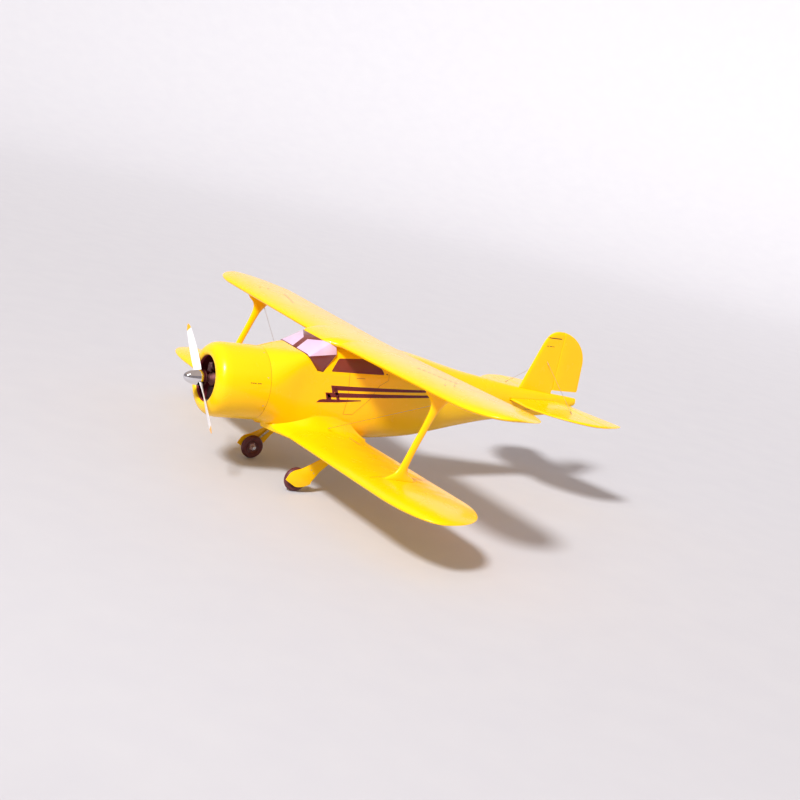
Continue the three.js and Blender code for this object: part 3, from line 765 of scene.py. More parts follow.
# The covering dips a little between the ribs, aft of the sheeted nose.
def coveringDip(wing, x, along):
    if not wing["root"] < x < wing["halfSpan"] - wing["tipLength"]:
        return 0
    bay = math.sin(math.pi * (x - wing["root"]) / wing["ribPitch"]) ** 2
    return wing["sag"] / wing["chord"] * bay * smooth((along - 0.3) / 0.15) * smooth((1 - along) / 0.2)


def wingHeights(wing, x, along):
    half = halfThickness(along, wing["thickness"]) + 0.0012 * along - coveringDip(wing, x, along)
    line = camberLine(along, wing["camber"])
    return line + half, line - half


def wingRing(wing, x, scale=1.0, tilted=True, grow=0.0, steps=26):
    shares = [0.5 * (1 + math.cos(math.pi * i / steps)) for i in range(steps + 1)]
    grown = grow / wing["chord"]
    ring = []
    for along in shares:
        ring.append(onWing(wing, x, along, wingHeights(wing, x, along)[0] + grown, scale, tilted))
    for along in shares[-2::-1]:
        ring.append(onWing(wing, x, along, wingHeights(wing, x, along)[1] - grown, scale, tilted))
    return ring


def wingPanel(name, wing, grow=0.0):
    tipStart = wing["halfSpan"] - wing["tipLength"]
    inner = max(2, round((tipStart - wing["root"]) / 9))
    rings = [wingRing(wing, lerp(wing["root"], tipStart, i / inner), grow=grow) for i in range(inner)]
    tipSteps = 20
    for i in range(tipSteps + 1):
        angle = 1.545 * (i / tipSteps) ** 0.9
        x = tipStart + wing["tipLength"] * math.sin(angle)
        rings.append(wingRing(wing, x, math.cos(angle) ** 0.9, grow=grow))
    bm = bmesh.new()
    loft(bm, [[place(*point) for point in ring] for ring in rings])
    return finishMesh(name, bm)


def hingeRadius(wing):
    return halfThickness(wing["hinge"], wing["thickness"]) * wing["chord"] * 0.94


# The hinged surface behind the hinge line, with its round nose.
def hingedSurface(name, wing):
    pivot, axis = hingeOf(f"{wing['surface']}_port_hinge")
    radius = hingeRadius(wing)
    rings = []
    count = 40
    steps = 12
    shares = []
    for i in range(steps + 1):
        shares.append(wing["hinge"] + 0.012 + (0.988 - wing["hinge"]) * (1 - (i / steps) ** 1.3))
    for k in range(count + 1):
        x = lerp(wing["from"], wing["to"], k / count)
        centre = pivot + axis * ((x - pivot.x) / axis.x)
        ring = [onWing(wing, x, along, wingHeights(wing, x, along)[0]) for along in shares]
        for i in range(15):
            angle = math.radians(86 + (188 * i) / 14)
            ring.append(Vector((x, centre.y + radius * math.cos(angle), centre.z + radius * math.sin(angle))))
        ring += [onWing(wing, x, along, wingHeights(wing, x, along)[1]) for along in reversed(shares)]
        rings.append(ring)
    bm = bmesh.new()
    loft(bm, [[place(*point) for point in ring] for ring in rings])
    return finishMesh(name, bm)


# The room for a hinged surface: concave ahead of its nose, open above, below and behind.
def hingeNotch(name, wing):
    pivot, axis = hingeOf(f"{wing['surface']}_port_hinge")
    radius = hingeRadius(wing) + 1.5
    outline = [(-1.6, 60), (-1.6, radius * 0.97)]
    for i in range(11):
        angle = math.radians(102 + 156 * i / 10)
        outline.append((radius * math.cos(angle), radius * math.sin(angle)))
    outline += [(-1.6, -radius * 0.97), (-1.6, -60), (160, -60), (160, 60)]
    bm = bmesh.new()
    rings = []
    for x in (wing["from"] - 0.9, wing["to"] + 0.9):
        centre = pivot + axis * ((x - pivot.x) / axis.x)
        rings.append([place(x, centre.y + y, centre.z + z) for y, z in outline])
    loft(bm, rings)
    return finishMesh(name, bm)


wingCentre = {"half": 95, "brow": 35, "flat": 58, "reach": 110, "rise": 2}


def wingCentreMesh(name, grow=0.0):
    wing = wings["upper"]
    rings = []
    steps = 48
    for k in range(steps + 1):
        x = lerp(-wingCentre["half"] - grow, wingCentre["half"] + grow, k / steps)
        share = min(1.0, max(0.0, (wingCentre["half"] - abs(x)) / (wingCentre["half"] - wingCentre["flat"])))
        forward = wingCentre["brow"] * lerp(share, smooth(share), 0.5)
        ring = []
        for point in wingRing(wing, x, 1.0, False, grow):
            ahead = max(0.0, 1 - (point.y - wing["leadingEdge"]) / wingCentre["reach"])
            rise = wingCentre["rise"] * ahead * forward / wingCentre["brow"]
            ring.append(place(x, point.y - (forward + grow) * ahead, point.z + rise))
        rings.append(ring)
    bm = bmesh.new()
    loft(bm, rings)
    return finishMesh(name, bm)


# Wing root of the lower wing, with a fillet that sweeps up the fuselage's side.
rootFillet = {"from": 60, "side": 85.5, "radius": 60, "longer": 0.06, "forward": 38, "tuck": 38, "steps": 60}


def lowerRootMesh(name, side):
    wing = wings["lower"]
    rings = []
    for k in range(rootFillet["steps"] + 1):
        x = lerp(rootFillet["from"], wing["root"] - 0.3, k / rootFillet["steps"])
        away = min(1.0, max(0.0, (x - rootFillet["side"]) / (wing["root"] - rootFillet["side"])))
        curl = 1 - math.sqrt(1 - (1 - away) ** 2)
        inward = (wing["root"] - x) / (wing["root"] - rootFillet["from"])
        longer = 1 + rootFillet["longer"] * curl
        ring = []
        for along, point in zip(ringShares(26), wingRing(wing, x, 1.0, False)):
            y = wing["leadingEdge"] + (point.y - wing["leadingEdge"]) * longer
            y -= rootFillet["forward"] * inward * (1 - smooth(along / 0.7))
            tuck = rootFillet["tuck"] * inward * (1 - smooth(along / 0.45))
            raised = point.z
            if point.z > wing["level"] - 4:
                hump = smooth((along + 0.12) / 0.52) * smooth((1.02 - along) / 0.5)
                raised += rootFillet["radius"] * curl * hump
            ring.append(place(side * (x - tuck), y, raised))
        rings.append(ring)
    bm = bmesh.new()
    loft(bm, rings)
    return finishMesh(name, bm)


def ringShares(steps):
    shares = [0.5 * (1 + math.cos(math.pi * i / steps)) for i in range(steps + 1)]
    return shares + shares[-2::-1]


# Wheel wells, leg slots and pivot pockets

gearRoomSizes = {"clear": 4, "slotHalf": 6.5}


def gearRoom(side):
    pivot, _ = hingeOf("gear_port_retract")
    wheel = centreOf("tyre_port")
    low, high = boxOf("tyre_port")
    stowedX = pivot.x + wheel.z - pivot.z
    around = (high.y - low.y) / 2 + gearRoomSizes["clear"]
    bm = bmesh.new()
    turned(bm, [[0, -145], [around, -145], [around, -97], [0, -97]], (side * stowedX, wheel.y, 0), "Z", 64)
    well = finishMesh("well", bm)
    across, aft = pivot.x - stowedX, pivot.y - wheel.y
    run = Vector((across, aft)).normalized()
    over = Vector((-run.y, run.x)) * gearRoomSizes["slotHalf"]
    start, end = Vector((stowedX, wheel.y)) - run * 10, Vector((pivot.x, pivot.y)) + run * 10
    corners = [start + over, end + over, end - over, start - over]
    slot = prism("slot", [(side * corner.x, corner.y) for corner in corners], -148, -114, "Z")
    pocket = prism("pocket", [(side * x, y) for x, y in ((136, 396), (160, 396), (160, 438), (136, 438))],
                   -145, -111, "Z")
    return [well, slot, pocket]


screen = {
    "opening": [(300, 113), (308.5, 107.4), (343.6, 69.4), (362.5, 67.4), (394.7, 119), (394.7, 170),
                (300, 170)],
    "points": {
        "foot": (13, 315, 112), "corner": (78, 309, 111), "sillFront": (89.4, 309.4, 107.5),
        "low": (89.4, 344, 70), "lowRear": (89.4, 362, 68), "rear": (86, 394, 119), "top": (73, 394, 146),
        "shoulder": (75, 374, 146), "roof": (61, 358, 149), "post": (12, 337, 138),
    },
    "thickness": 2.0, "middle": (0, 380, 100), "pillarHalf": 12, "paneFrom": 111.5,
}
windows = {
    "outline": [(387, 71), (408, 108), (490, 113), (552, 90), (561, 75)], "corner": 6, "inset": 0.9,
}


def fuselageMesh():
    around = fuselage["around"]
    count = round((stationYs[-1] - stationYs[0]) / fuselage["pitch"])
    outer = [fuselageRing(lerp(stationYs[0], stationYs[-1], k / count), 0, around) for k in range(count + 1)]
    end = fuselage["hollowTo"]
    innerCount = round((end - stationYs[0]) / (fuselage["pitch"] * 2))
    inner = [fuselageRing(lerp(stationYs[0], end, k / innerCount), fuselage["skin"], around)
             for k in range(innerCount + 1)]
    bm = bmesh.new()
    rings = [[place(*point) for point in ring] for ring in inner[::-1] + outer]
    rows = loft(bm, rings, ends=False)
    bm.faces.new(rows[0])
    bm.faces.new(rows[-1])
    shell = finishMesh("fuselage_shell", bm)
    roots = [lowerRootMesh("root", side) for side in sides.values()]
    hollow = bmesh.new()
    loft(hollow, [[place(*point) for point in ring] for ring in inner[::-1]])
    shell = carve(shell, roots, "UNION")
    cutters = [finishMesh("hollow", hollow)]
    cutters.append(prism("screen", screen["opening"], -120, 120))
    for side in sides.values():
        outline = rounded(windows["outline"], windows["corner"])
        low, high = sorted((side * 50, side * 130))
        cutters.append(prism("window", outline, low, high))
        cutters += gearRoom(side)
    cutters.append(wingCentreMesh("seat", 0.5))
    level = centreOf("tailplane").z
    slotLow, slotHigh = boxOf("tailplane")
    rudderPivot, _ = hingeOf("rudder_hinge")
    tall = (slotHigh.z - slotLow.z) / 2 + 0.3
    front, rear = slotLow.y - 1, rudderPivot.y - 4
    slot = [(front, level - tall), (rear, level - tall), (rear, level + tall), (front, level + tall)]
    cutters.append(prism("tailSlot", slot, -70, 70))
    joiner = bmesh.new()
    turned(joiner, [[0, -40], [3.4, -40], [3.4, 40], [0, 40]], (0, rudderPivot.y, level), "X", 20)
    cutters.append(finishMesh("joiner", joiner))
    wheel = centreOf("tail_wheel")
    front, rear = wheel.y - 22, wheel.y + 22
    cutters.append(prism("tailWheelSlot", [(front, -60), (rear, -60), (rear, -14), (front, -14)], -7, 7))
    return carve(shell, cutters)


def addFuselage():
    mesh = fuselageMesh()
    shade(mesh, 30)
    addPiece("fuselage_shell", mesh, "airframe", finishes["yellow"], ["fuselage"])


def addWings():
    for wingName, wing in wings.items():
        panel = carve(wingPanel(f"{wingName}_panel", wing), [hingeNotch("notch", wing)])
        if wingName == "lower":
            panel = carve(panel, gearRoom(1))
        shade(panel, 32)
        surface = hingedSurface(f"{wing['surface']}_surface", wing)
        for sideName, side in sides.items():
            fixed, hinged = onSide(side, panel, surface)
            addPiece(f"{wingName}_panel_{sideName}", fixed, "airframe",
                     finishes["yellow"], [f"{wingName}_wing_{sideName}"])
            hingedNode = f"{wing['surface']}_{sideName}"
            addPiece(f"{wing['surface']}_surface_{sideName}", hinged, hingedNode,
                     finishes["yellow"], [hingedNode])
    centre = wingCentreMesh("wing_centre")
    addPiece("wing_centre", centre, "airframe", finishes["yellow"], ["upper_wing_centre"])


# Cowl

cowl = {
    "lip": [[62, 73], [62.5, 66], [65, 62], [70, 60.5], [79, 62], [88, 67], [95, 75], [99, 84], [101.5, 97]],
    "radius": 101.5, "rear": 209, "steps": 144, "screws": 8, "screwFromRear": 9,
}


def screwHead(bm, centre, outward, radius=1.6, height=0.9):
    outward = Vector(outward).normalized()
    turn = Vector((0, 0, 1)).rotation_difference(outward)
    rings = []
    for share, lift in ((1, -0.6), (1, 0.25), (0.82, 0.7), (0.5, 0.95), (0.22, 1.0), (0.2, 0.45)):
        ring = []
        for i in range(16):
            angle = 2 * math.pi * i / 16
            reach = radius * share
            point = Vector((math.cos(angle) * reach, math.sin(angle) * reach, height * lift))
            ring.append(place(*(Vector(centre) + turn @ point)))
        rings.append(ring)
    loft(bm, rings)


def addCowl():
    lip = [[p.x, p.y] for p in through([(r, y, 0) for r, y in cowl["lip"]], 4)]
    outside = [[cowl["radius"], 150], [101.4, 190], [101, cowl["rear"] - 0.6], [100.4, cowl["rear"]]]
    inside = [[98.9, cowl["rear"]], [98.9, 98], [96, 86], [90, 77], [80, 70], [71, 68], [67, 71.5]]
    bm = bmesh.new()
    turned(bm, lip + outside + inside, (0, 0, 0), "Y", cowl["steps"], closed=True)
    mesh = finishMesh("cowl_ring", bm)
    mesh.materials.append(finishes["yellow"])
    mesh.materials.append(finishes["cowlInside"])
    for face in mesh.polygons:
        radial = Vector((face.center.x, 0, face.center.z - thrust))
        ahead = (face.center.y - nose) / mm
        if face.normal.dot(radial) < 0 and ahead > 66:
            face.material_index = 1
    addPiece("cowl_ring", mesh, "airframe", finishes["yellow"], ["cowl"])
    bm = bmesh.new()
    level = cowl["rear"] - cowl["screwFromRear"]
    for k in range(cowl["screws"]):
        angle = 2 * math.pi * (k + 0.5) / cowl["screws"]
        out = Vector((math.cos(angle), 0, math.sin(angle)))
        screwHead(bm, out * (cowl["radius"] - 0.4) + Vector((0, level, 0)), out)
    addPiece("cowl_screws", finishMesh("cowl_screws", bm), "airframe", finishes["chrome"])
    bm = bmesh.new()
    seam = [[99.2, 208.9], [100.6, 208.9], [100.6, 210.2], [99.2, 210.2]]
    turned(bm, seam, (0, 0, 0), "Y", 96, closed=True)
    addPiece("cowl_seam", finishMesh("cowl_seam", bm), "airframe", finishes["seam"])


# Propeller, spinner and shaft

spinner = {
    "outside": [[0, 0], [5, 1.2], [10, 5], [14, 11], [17.5, 19], [20, 29], [21.5, 41], [22, 55]],
    "inside": [[20, 55], [18.8, 36], [14.5, 18], [8, 7], [0, 3.5]], "slotHalf": 9.5, "slotFrom": 36,
}


def toBladeAngle(point):
    angle = math.radians(propeller["angle"])
    x, y, z = point
    return Vector((x * math.cos(angle) + z * math.sin(angle), y, -x * math.sin(angle) + z * math.cos(angle)))


def bladeMesh(flip):
    rings = []
    steps = propeller["rings"]
    around = propeller["around"]
    for i in range(steps + 1):
        t = math.sin(math.pi / 2 * i / steps)
        radius = propeller["rootFrom"] + (propeller["radius"] - propeller["rootFrom"]) * t
        pitch = math.atan2(propeller["advance"], propeller["advanceFrom"] + radius)
        roundTip = math.sqrt(max(0.0004, 1 - max(0, (t - propeller["tipRoundFrom"]) / 0.1402) ** 2))
        swell = math.sin(math.pi * min(1, t * 0.95 + 0.05))
        half = (propeller["halfWidth"] + propeller["bulge"] * swell) * roundTip
        thick = (propeller["thick"] - propeller["taper"] * t) * (0.35 + 0.65 * roundTip)
        ring = []
        for k in range(around):
            angle = 2 * math.pi * k / around
            across = half * math.cos(angle)
            fullness = 1 if math.sin(angle) > 0 else 0.55
            deep = thick * math.sin(angle) * fullness + 0.25 * thick * (1 - math.cos(angle) ** 2)
            point = Vector((across * math.cos(pitch) - deep * math.sin(pitch),
                            propeller["plane"] + across * math.sin(pitch) + deep * math.cos(pitch), radius))
            if flip:
                point.x, point.z = -point.x, -point.z
            ring.append(place(*toBladeAngle(point)))
        rings.append(ring)
    bm = bmesh.new()
    loft(bm, rings)
    return finishMesh("blade", bm)


def addAirscrew():
    bm = bmesh.new()
    turned(bm, [[0, 40], [10.2, 40], [11, 40.8], [11, 51.2], [10.2, 52], [0, 52]], (0, 0, 0), "Y", 48)
    bore = bmesh.new()
    turned(bore, [[0, 20], [3.4, 20], [3.4, 80], [0, 80]], (0, 0, 0), "Y", 32)
    mesh = carve(finishMesh("hub", bm), [bladeMesh(False), bladeMesh(True)], "UNION")
    mesh = carve(mesh, [finishMesh("bore", bore)])
    shade(mesh, 40)
    addPiece("blades", mesh, "airscrew", finishes["propeller"], ["propeller"])
    outside = [[p.x, p.y] for p in through([(r, y, 0) for r, y in spinner["outside"]], 5)]
    outside[0] = [0, 0]
    bm = bmesh.new()
    turned(bm, outside + spinner["inside"], (0, 0, 0), "Y", 112)
    slots = []
    for way in (1, -1):
        half, start = spinner["slotHalf"], spinner["slotFrom"]
        corners = [(-half, start + 4), (-half + 4, start), (half - 4, start), (half, start + 4), (half, 60),
                   (-half, 60)]
        slot = bmesh.new()
        loft(slot, [[place(*toBladeAngle((x * way, y, z * way))) for x, y in corners] for z in (0, 40)])
        slots.append(finishMesh("slot", slot))
    mesh = carve(finishMesh("spinner_shell", bm), slots)
    shade(mesh, 35)
    addPiece("spinner_shell", mesh, "airscrew", finishes["chrome"], ["spinner"])
    bm = bmesh.new()
    disc = [[3.4, 55.4], [21, 55.4], [21.6, 56], [21.6, 57.4], [21, 58], [3.4, 58]]
    turned(bm, disc, (0, 0, 0), "Y", 96, True)
    addPiece("backplate_disc", finishMesh("backplate_disc", bm), "airscrew", finishes["casting"],
             ["spinner_backplate"])
    bm = bmesh.new()
    turned(bm, [[0, 31], [2.4, 31], [3, 31.8], [3, 94], [0, 94]], (0, 0, 0), "Y", 40)
    addPiece("shaft", finishMesh("shaft", bm), "airscrew", finishes["steel"], ["crankshaft"])
    bm = bmesh.new()
    nut = [[3.4, 31.5], [5.2, 31.5], [6, 32.4], [6, 38.6], [5.2, 39.5], [3.4, 39.5]]
    turned(bm, nut, (0, 0, 0), "Y", 6, True)
    addPiece("shaft_nut", finishMesh("shaft_nut", bm, 20), "airscrew", finishes["steel"],
             ["propeller_nut"])


# Engine

engine = {"barrelY": 97, "fins": 8, "finRadius": 18.8, "barrel": 14.5, "from": -21.5, "to": -57.8}


def addEngine():
    bm = bmesh.new()
    turned(bm, [[3.4, 58.6], [8.4, 58.6], [9, 59.4], [9.5, 72], [12, 75], [19, 81], [20, 83], [20, 111],
                [17, 115.6], [0, 115.6], [0, 96], [3.4, 96]], (0, 0, 0), "Y", 72, True)
    case = finishMesh("case", bm)
    lugOutline = [(-29.8, 84.4), (29.8, 84.4), (29.8, 109.6), (-29.8, 109.6)]
    lug = prism("lug", rounded(lugOutline, 3), -5.8, -0.4, "Z")
    case = carve(case, [lug], "UNION")
    bore = bmesh.new()
    turned(bore, [[0, 50], [3.4, 50], [3.4, 95], [0, 95]], (0, 0, 0), "Y", 32)
    case = carve(case, [finishMesh("bore", bore)])
    shade(case, 35)
    addPiece("engine_case", case, "airframe", finishes["casting"], ["crankcase"])
    profile = [[0, engine["from"]], [engine["barrel"], engine["from"]]]
    pitch = (engine["to"] - engine["from"]) / engine["fins"]
    for i in range(engine["fins"]):
        start = engine["from"] + pitch * i
        profile += [[engine["barrel"], start + pitch * 0.3], [engine["finRadius"], start + pitch * 0.38],
                    [engine["finRadius"], start + pitch * 0.62], [engine["barrel"], start + pitch * 0.7]]
    profile += [[engine["barrel"], engine["to"]], [0, engine["to"]]]
    bm = bmesh.new()
    turned(bm, profile, (0, engine["barrelY"], 0), "Z", 64)
    addPiece("barrel_fins", finishMesh("barrel_fins", bm), "airframe", finishes["dark"],
             ["engine_cylinder"])
    bm = bmesh.new()
    turned(bm, [[0, -58.4], [17, -58.4], [19, -61], [17.2, -62], [19, -63], [17.2, -64.4], [19, -66],
                [18, -69], [13, -72], [0, -72]], (0, engine["barrelY"], 0), "Z", 64)
    addPiece("head_fins", finishMesh("head_fins", bm, 25), "airframe", finishes["aluminium"],
             ["cylinder_head"])
    bm = bmesh.new()
    turned(bm, [[0, -72.4], [3.5, -72.4], [3.5, -75.6], [1.6, -76.6], [1.5, -83.4], [1, -84], [0, -84]],
           (0, engine["barrelY"], 0), "Z", 32)
    addPiece("plug_body", finishMesh("plug_body", bm), "airframe", finishes["steel"], ["glow_plug"])
    low, high = boxOf("carburettor")
    centre = (73, 32)
    bm = bmesh.new()
    turned(bm, [[0, low.z], [7, low.z], [7, high.z - 5], [6.6, high.z - 2.4], [5, high.z], [3.4, high.z],
                [3, high.z - 6], [0, high.z - 6]], (0, centre[0], 0), "Z", 48)
    body = finishMesh("body", bm)
    bm = bmesh.new()
    turned(bm, [[0, 3], [3.4, 3], [3.4, 10], [2.4, 10.6], [2.4, 13], [3.4, 13.4], [3.4, 15.6], [0, 15.6]],
           (0, centre[0], centre[1]), "X", 40)
    addPiece("carburettor_body", carve(body, [finishMesh("arm", bm)], "UNION"), "airframe",
             finishes["dark"], ["carburettor"])
    bm = bmesh.new()
    turned(bm, [[0, 92], [5.4, 86.6], [6.4, 86.6], [13, 92], [13, 120], [12.2, 121], [12.2, 123], [13, 124],
                [13, 160], [6, 167.6], [3.4, 168], [3, 163], [0, 163]], (38, 0, -38), "Y", 64)
    pipe = bmesh.new()
    turned(pipe, [[0, 19.9], [6, 19.9], [6, 34], [0, 34]], (0, 97, -38), "X", 40)
    addPiece("muffler_can", carve(finishMesh("can", bm), [finishMesh("pipe", pipe)], "UNION"), "airframe",
             finishes["aluminium"], ["muffler"])
    softenEdges(copyOf("engine_mount", "mount_frame", "airframe", "nylon"), 1.2)


# A finer copy of a CAD node, to bevel or carve.
def copyOf(node, name, body, finish):
    mesh = frame["nodes"][node].data.copy()
    mesh.materials.clear()
    bm = bmesh.new()
    bm.from_mesh(mesh)
    bmesh.ops.remove_doubles(bm, verts=bm.verts, dist=0.000004)
    bmesh.ops.dissolve_limit(bm, angle_limit=math.radians(1), verts=bm.verts, edges=bm.edges)
    bm.to_mesh(mesh)
    bm.free()
    shade(mesh, 35)
    return addPiece(name, mesh, body, finishes[finish], [node])


# Windscreen and cabin windows

def hull(points):
    bm = bmesh.new()
    for point in points:
        bm.verts.new(place(*point))
    bmesh.ops.convex_hull(bm, input=bm.verts)
    bmesh.ops.dissolve_limit(bm, angle_limit=math.radians(2.5), verts=bm.verts, edges=bm.edges)
    return bm


def screenPoints(shrink):
    points = []
    for x, y, z in screen["points"].values():
        inwards = x - (shrink if x > 20 else 0)
        back = y + shrink * (1.2 if y < 380 else 12)
        down = z - shrink * (1 if z > 100 else 4)
        points += [(inwards, back, down), (-inwards, back, down)]
    return points


def addScreen():
    outside = finishMesh("windscreen_shell", hull(screenPoints(0)))
    below = prism("below", [(309, 0), (420, 0), (420, 67.9), (309, 67.9)], -100, 100)
    room = finishMesh("room", hull(screenPoints(screen["thickness"])))
    cutters = [room, wingCentreMesh("seat", 0.4), below]
    mesh = carve(outside, cutters)
    bm = bmesh.new()
    bm.from_mesh(mesh)
    for side in sides.values():
        everything = list(bm.verts) + list(bm.edges) + list(bm.faces)
        edge = place(side * screen["pillarHalf"], 0, 0)
        bmesh.ops.bisect_plane(bm, geom=everything, plane_co=edge, plane_no=(1, 0, 0), dist=1e-6)
    bm.to_mesh(mesh)
    bm.free()
    mesh.materials.append(finishes["tint"])
    mesh.materials.append(finishes["paneReflection"])
    middle = place(*screen["middle"])
    # The outward faces of the front panes take the painted sky reflection.
    for face in mesh.polygons:
        out, _, up = (face.center - place(0, 0, 0)) / mm
        outward = face.normal.dot(face.center - middle) > 0
        if outward and abs(out) > screen["pillarHalf"] and up > screen["paneFrom"] and face.normal.z < 0.86:
            face.material_index = 1
    shell = addPiece("windscreen_shell", mesh, "airframe", finishes["tint"], ["windscreen"])
    softenEdges(shell, 0.7, 2, 20)


def addWindows():
    outline = [Vector((0, y, z)) for y, z in windows["outline"]]
    middle = sum(outline, Vector()) / len(outline)
    shrunk = []
    for point in outline:
        away = (point - middle).normalized()
        shrunk.append(tuple((point - away * 0.6).yz))
    for sideName, side in sides.items():
        bm = bmesh.new()
        sidePatch(bm, rounded(shrunk, windows["corner"] - 0.4), side, -windows["inset"], 1.3)
        addPiece(f"cabin_window_{sideName}", finishMesh("cabin_window", bm), "airframe",
                 finishes["tint"], [f"window_{sideName}"])


# Markings on the fuselage's sides

marks = {
    "stripes": [
        [(395, 33), (714, 41), (714, 34), (410, 20), (411, 14), (404, 12)],
        [(382, 12), (739, 27), (739, 20), (397, -1), (398, -9), (391, -10)],
        [(360, -18), (367, -10), (379, -7), (500, -2), (500, -4.5), (430, -13), (371, -17)],
        [(406, 26), (416, 26), (434, -10), (424, -10)],
        [(388, 8), (397, 8), (408, -10), (399, -10)],
    ],
    "door": [(446, 73), (456, 2), (452, -46), (481, -45), (528, 3), (550, 44), (576, 61), (575, 78)],
    "latches": [
        [(470, 59), (498, 60), (498, 61.2), (470, 60.2)],
        [(566, 76), (571, 76), (571, 79), (566, 79)],
        [(1118, 26), (1160, 23), (1160, 24.4), (1118, 27.4)],
        [(1118, -2), (1160, -2), (1160, -0.6), (1118, -0.6)],
    ],
    "cowlDashes": [148, 154, 160, 169, 175], "lineWidth": 0.9, "lift": 0.3, "lineLift": 0.2, "deep": 0.4,
}


def band(points, width):
    left, right = [], []
    points = [Vector(point) for point in points]
    for i, point in enumerate(points):
        before, after = points[max(0, i - 1)], points[min(len(points) - 1, i + 1)]
        run = (after - before).normalized()
        over = Vector((-run.y, run.x)) * width / 2
        left.append(point + over)
        right.append(point - over)
    return [tuple(p) for p in left] + [tuple(p) for p in reversed(right)]


# How far out the cowl's side is.
def cowlSkin(y, z):
    return math.sqrt(cowl["radius"] ** 2 - z * z)


def addMarks():
    for sideName, side in sides.items():
        bm = bmesh.new()
        for shape in marks["stripes"]:
            sidePatch(bm, shape, side, marks["lift"], marks["deep"])
        addPiece(f"side_stripes_{sideName}", finishMesh("side_stripes", bm), "airframe",
                 finishes["maroon"])
        bm = bmesh.new()
        for a, b in zip(marks["door"], marks["door"][1:]):
            sidePatch(bm, band([a, b], marks["lineWidth"]), side, marks["lineLift"], marks["deep"])
        for outline in marks["latches"]:
            sidePatch(bm, outline, side, marks["lineLift"], marks["deep"])
        addPiece(f"door_lines_{sideName}", finishMesh("door_lines", bm), "airframe",
                 finishes["seam"])
        bm = bmesh.new()
        for y in marks["cowlDashes"]:
            outline = [(y, 21), (y + 4.2, 21), (y + 4.8, 23.2), (y + 0.6, 23.2)]
            sidePatch(bm, outline, side, marks["lineLift"], marks["deep"], 3, cowlSkin)
        addPiece(f"cowl_dashes_{sideName}", finishMesh("cowl_dashes", bm), "airframe",
                 finishes["maroon"])


# Thin marks on a wing's upper surface

wingMarks = {"dashes": 8, "from": (363, 0.34), "to": (506, 0.51), "length": 11, "width": 2.2, "seamAt": 511}


# A strip along points given as [distance out, fraction of the chord], just proud of the covering.
def wingStrip(bm, wing, points, width):
    rings = []
    for i, (x, along) in enumerate(points):
        before, after = points[max(0, i - 1)], points[min(len(points) - 1, i + 1)]
        run = Vector(((after[0] - before[0]), (after[1] - before[1]) * wing["chord"])).normalized()
        corners = []
        for side, lift in ((1, 0.35), (-1, 0.35), (-1, -0.3), (1, -0.3)):
            out = x - run.y * side * width / 2
            share = along + run.x * side * width / 2 / wing["chord"]
            top = onWing(wing, out, share, wingHeights(wing, out, share)[0] + lift / wing["chord"])
            corners.append(place(*top))
        rings.append(corners)
    loft(bm, rings)


def addWingMarks():
    dashes, seam = bmesh.new(), bmesh.new()
    start, end = Vector(wingMarks["from"]), Vector(wingMarks["to"])
    for k in range(wingMarks["dashes"]):
        first = start.lerp(end, k / wingMarks["dashes"])
        step = (end - start) * (wingMarks["length"] / (end - start).x)
        wingStrip(dashes, wings["upper"], [tuple(first), tuple(first + step)], wingMarks["width"])
    chordwise = [(wingMarks["seamAt"], lerp(0.12, 0.74, i / 16)) for i in range(17)]
    wingStrip(seam, wings["lower"], chordwise, 0.8)
    pairs = {"wing_dashes": (dashes, "maroon"), "panel_seam": (seam, "seam")}
    for name, (bm, finish) in pairs.items():
        mesh = finishMesh(name, bm)
        twin = mirroredMesh(mesh, f"{name}_twin")
        addPiece(f"{name}_port", mesh, "airframe", finishes[finish])
        addPiece(f"{name}_starboard", twin, "airframe", finishes[finish])


# Struts

strut = {
    "x": 525,
    "levels": [
        [-102, 380, 56, 8], [-88, 382, 49, 7.5], [-78, 385, 31, 7], [-68, 388, 18, 6.5], [-50, 393, 12, 6],
        [0, 409, 10.5, 6], [50, 427, 10.5, 6], [90, 441, 12.5, 6], [112, 449, 19, 6.5], [126, 453, 29, 7],
        [138, 453, 42, 7.5], [148, 452, 48, 8],
    ],
    "around": 48, "pitch": 3,
}


def interpolate(table, at):
    xs = [row[0] for row in table]
    i = max(k for k in range(len(xs) - 1) if xs[k] <= at or k == 0)
    width = xs[i + 1] - xs[i]
    t = (at - xs[i]) / width
    values = []
    for column in list(zip(*table))[1:]:
        slopes = monotoneSlopes(xs, column)
        a, b, p, q = column[i], column[i + 1], slopes[i] * width, slopes[i + 1] * width
        values.append(a + (p + (3 * (b - a) - 2 * p - q + (p + q - 2 * (b - a)) * t) * t) * t)
    return values


def addStruts():
    low, high = strut["levels"][0][0], strut["levels"][-1][0]
    count = round((high - low) / strut["pitch"])
    rings = []
    for k in range(count + 1):
        z = lerp(low, high, k / count)
        y, chord, thick = interpolate(strut["levels"], z)
        ring = []
        for i in range(strut["around"]):
            angle = 2 * math.pi * i / strut["around"]
            ring.append(place(strut["x"] + thick * math.cos(angle), y + chord * math.sin(angle), z))
        rings.append(ring)
    bm = bmesh.new()
    loft(bm, rings)
    mesh = carve(finishMesh("strut_fairing", bm), [wingPanel("cutter", wing, 0.4) for wing in wings.values()])
    shade(mesh, 35)
    wing = wings["upper"]
    bolts = bmesh.new()
    for along in (0.22, 0.34):
        top = onWing(wing, 541, along, wingHeights(wing, 541, along)[0])
        screwHead(bolts, top, (0, -0.06, 1), 2.1, 1.2)
    boltMesh = finishMesh("strut_bolts", bolts)
    for sideName, side in sides.items():
        fairing, boltPair = onSide(side, mesh, boltMesh)
        addPiece(f"strut_fairing_{sideName}", fairing, "airframe", finishes["yellow"],
                 [f"strut_{sideName}"])
        addPiece(f"strut_bolts_{sideName}", boltPair, "airframe", finishes["steel"])
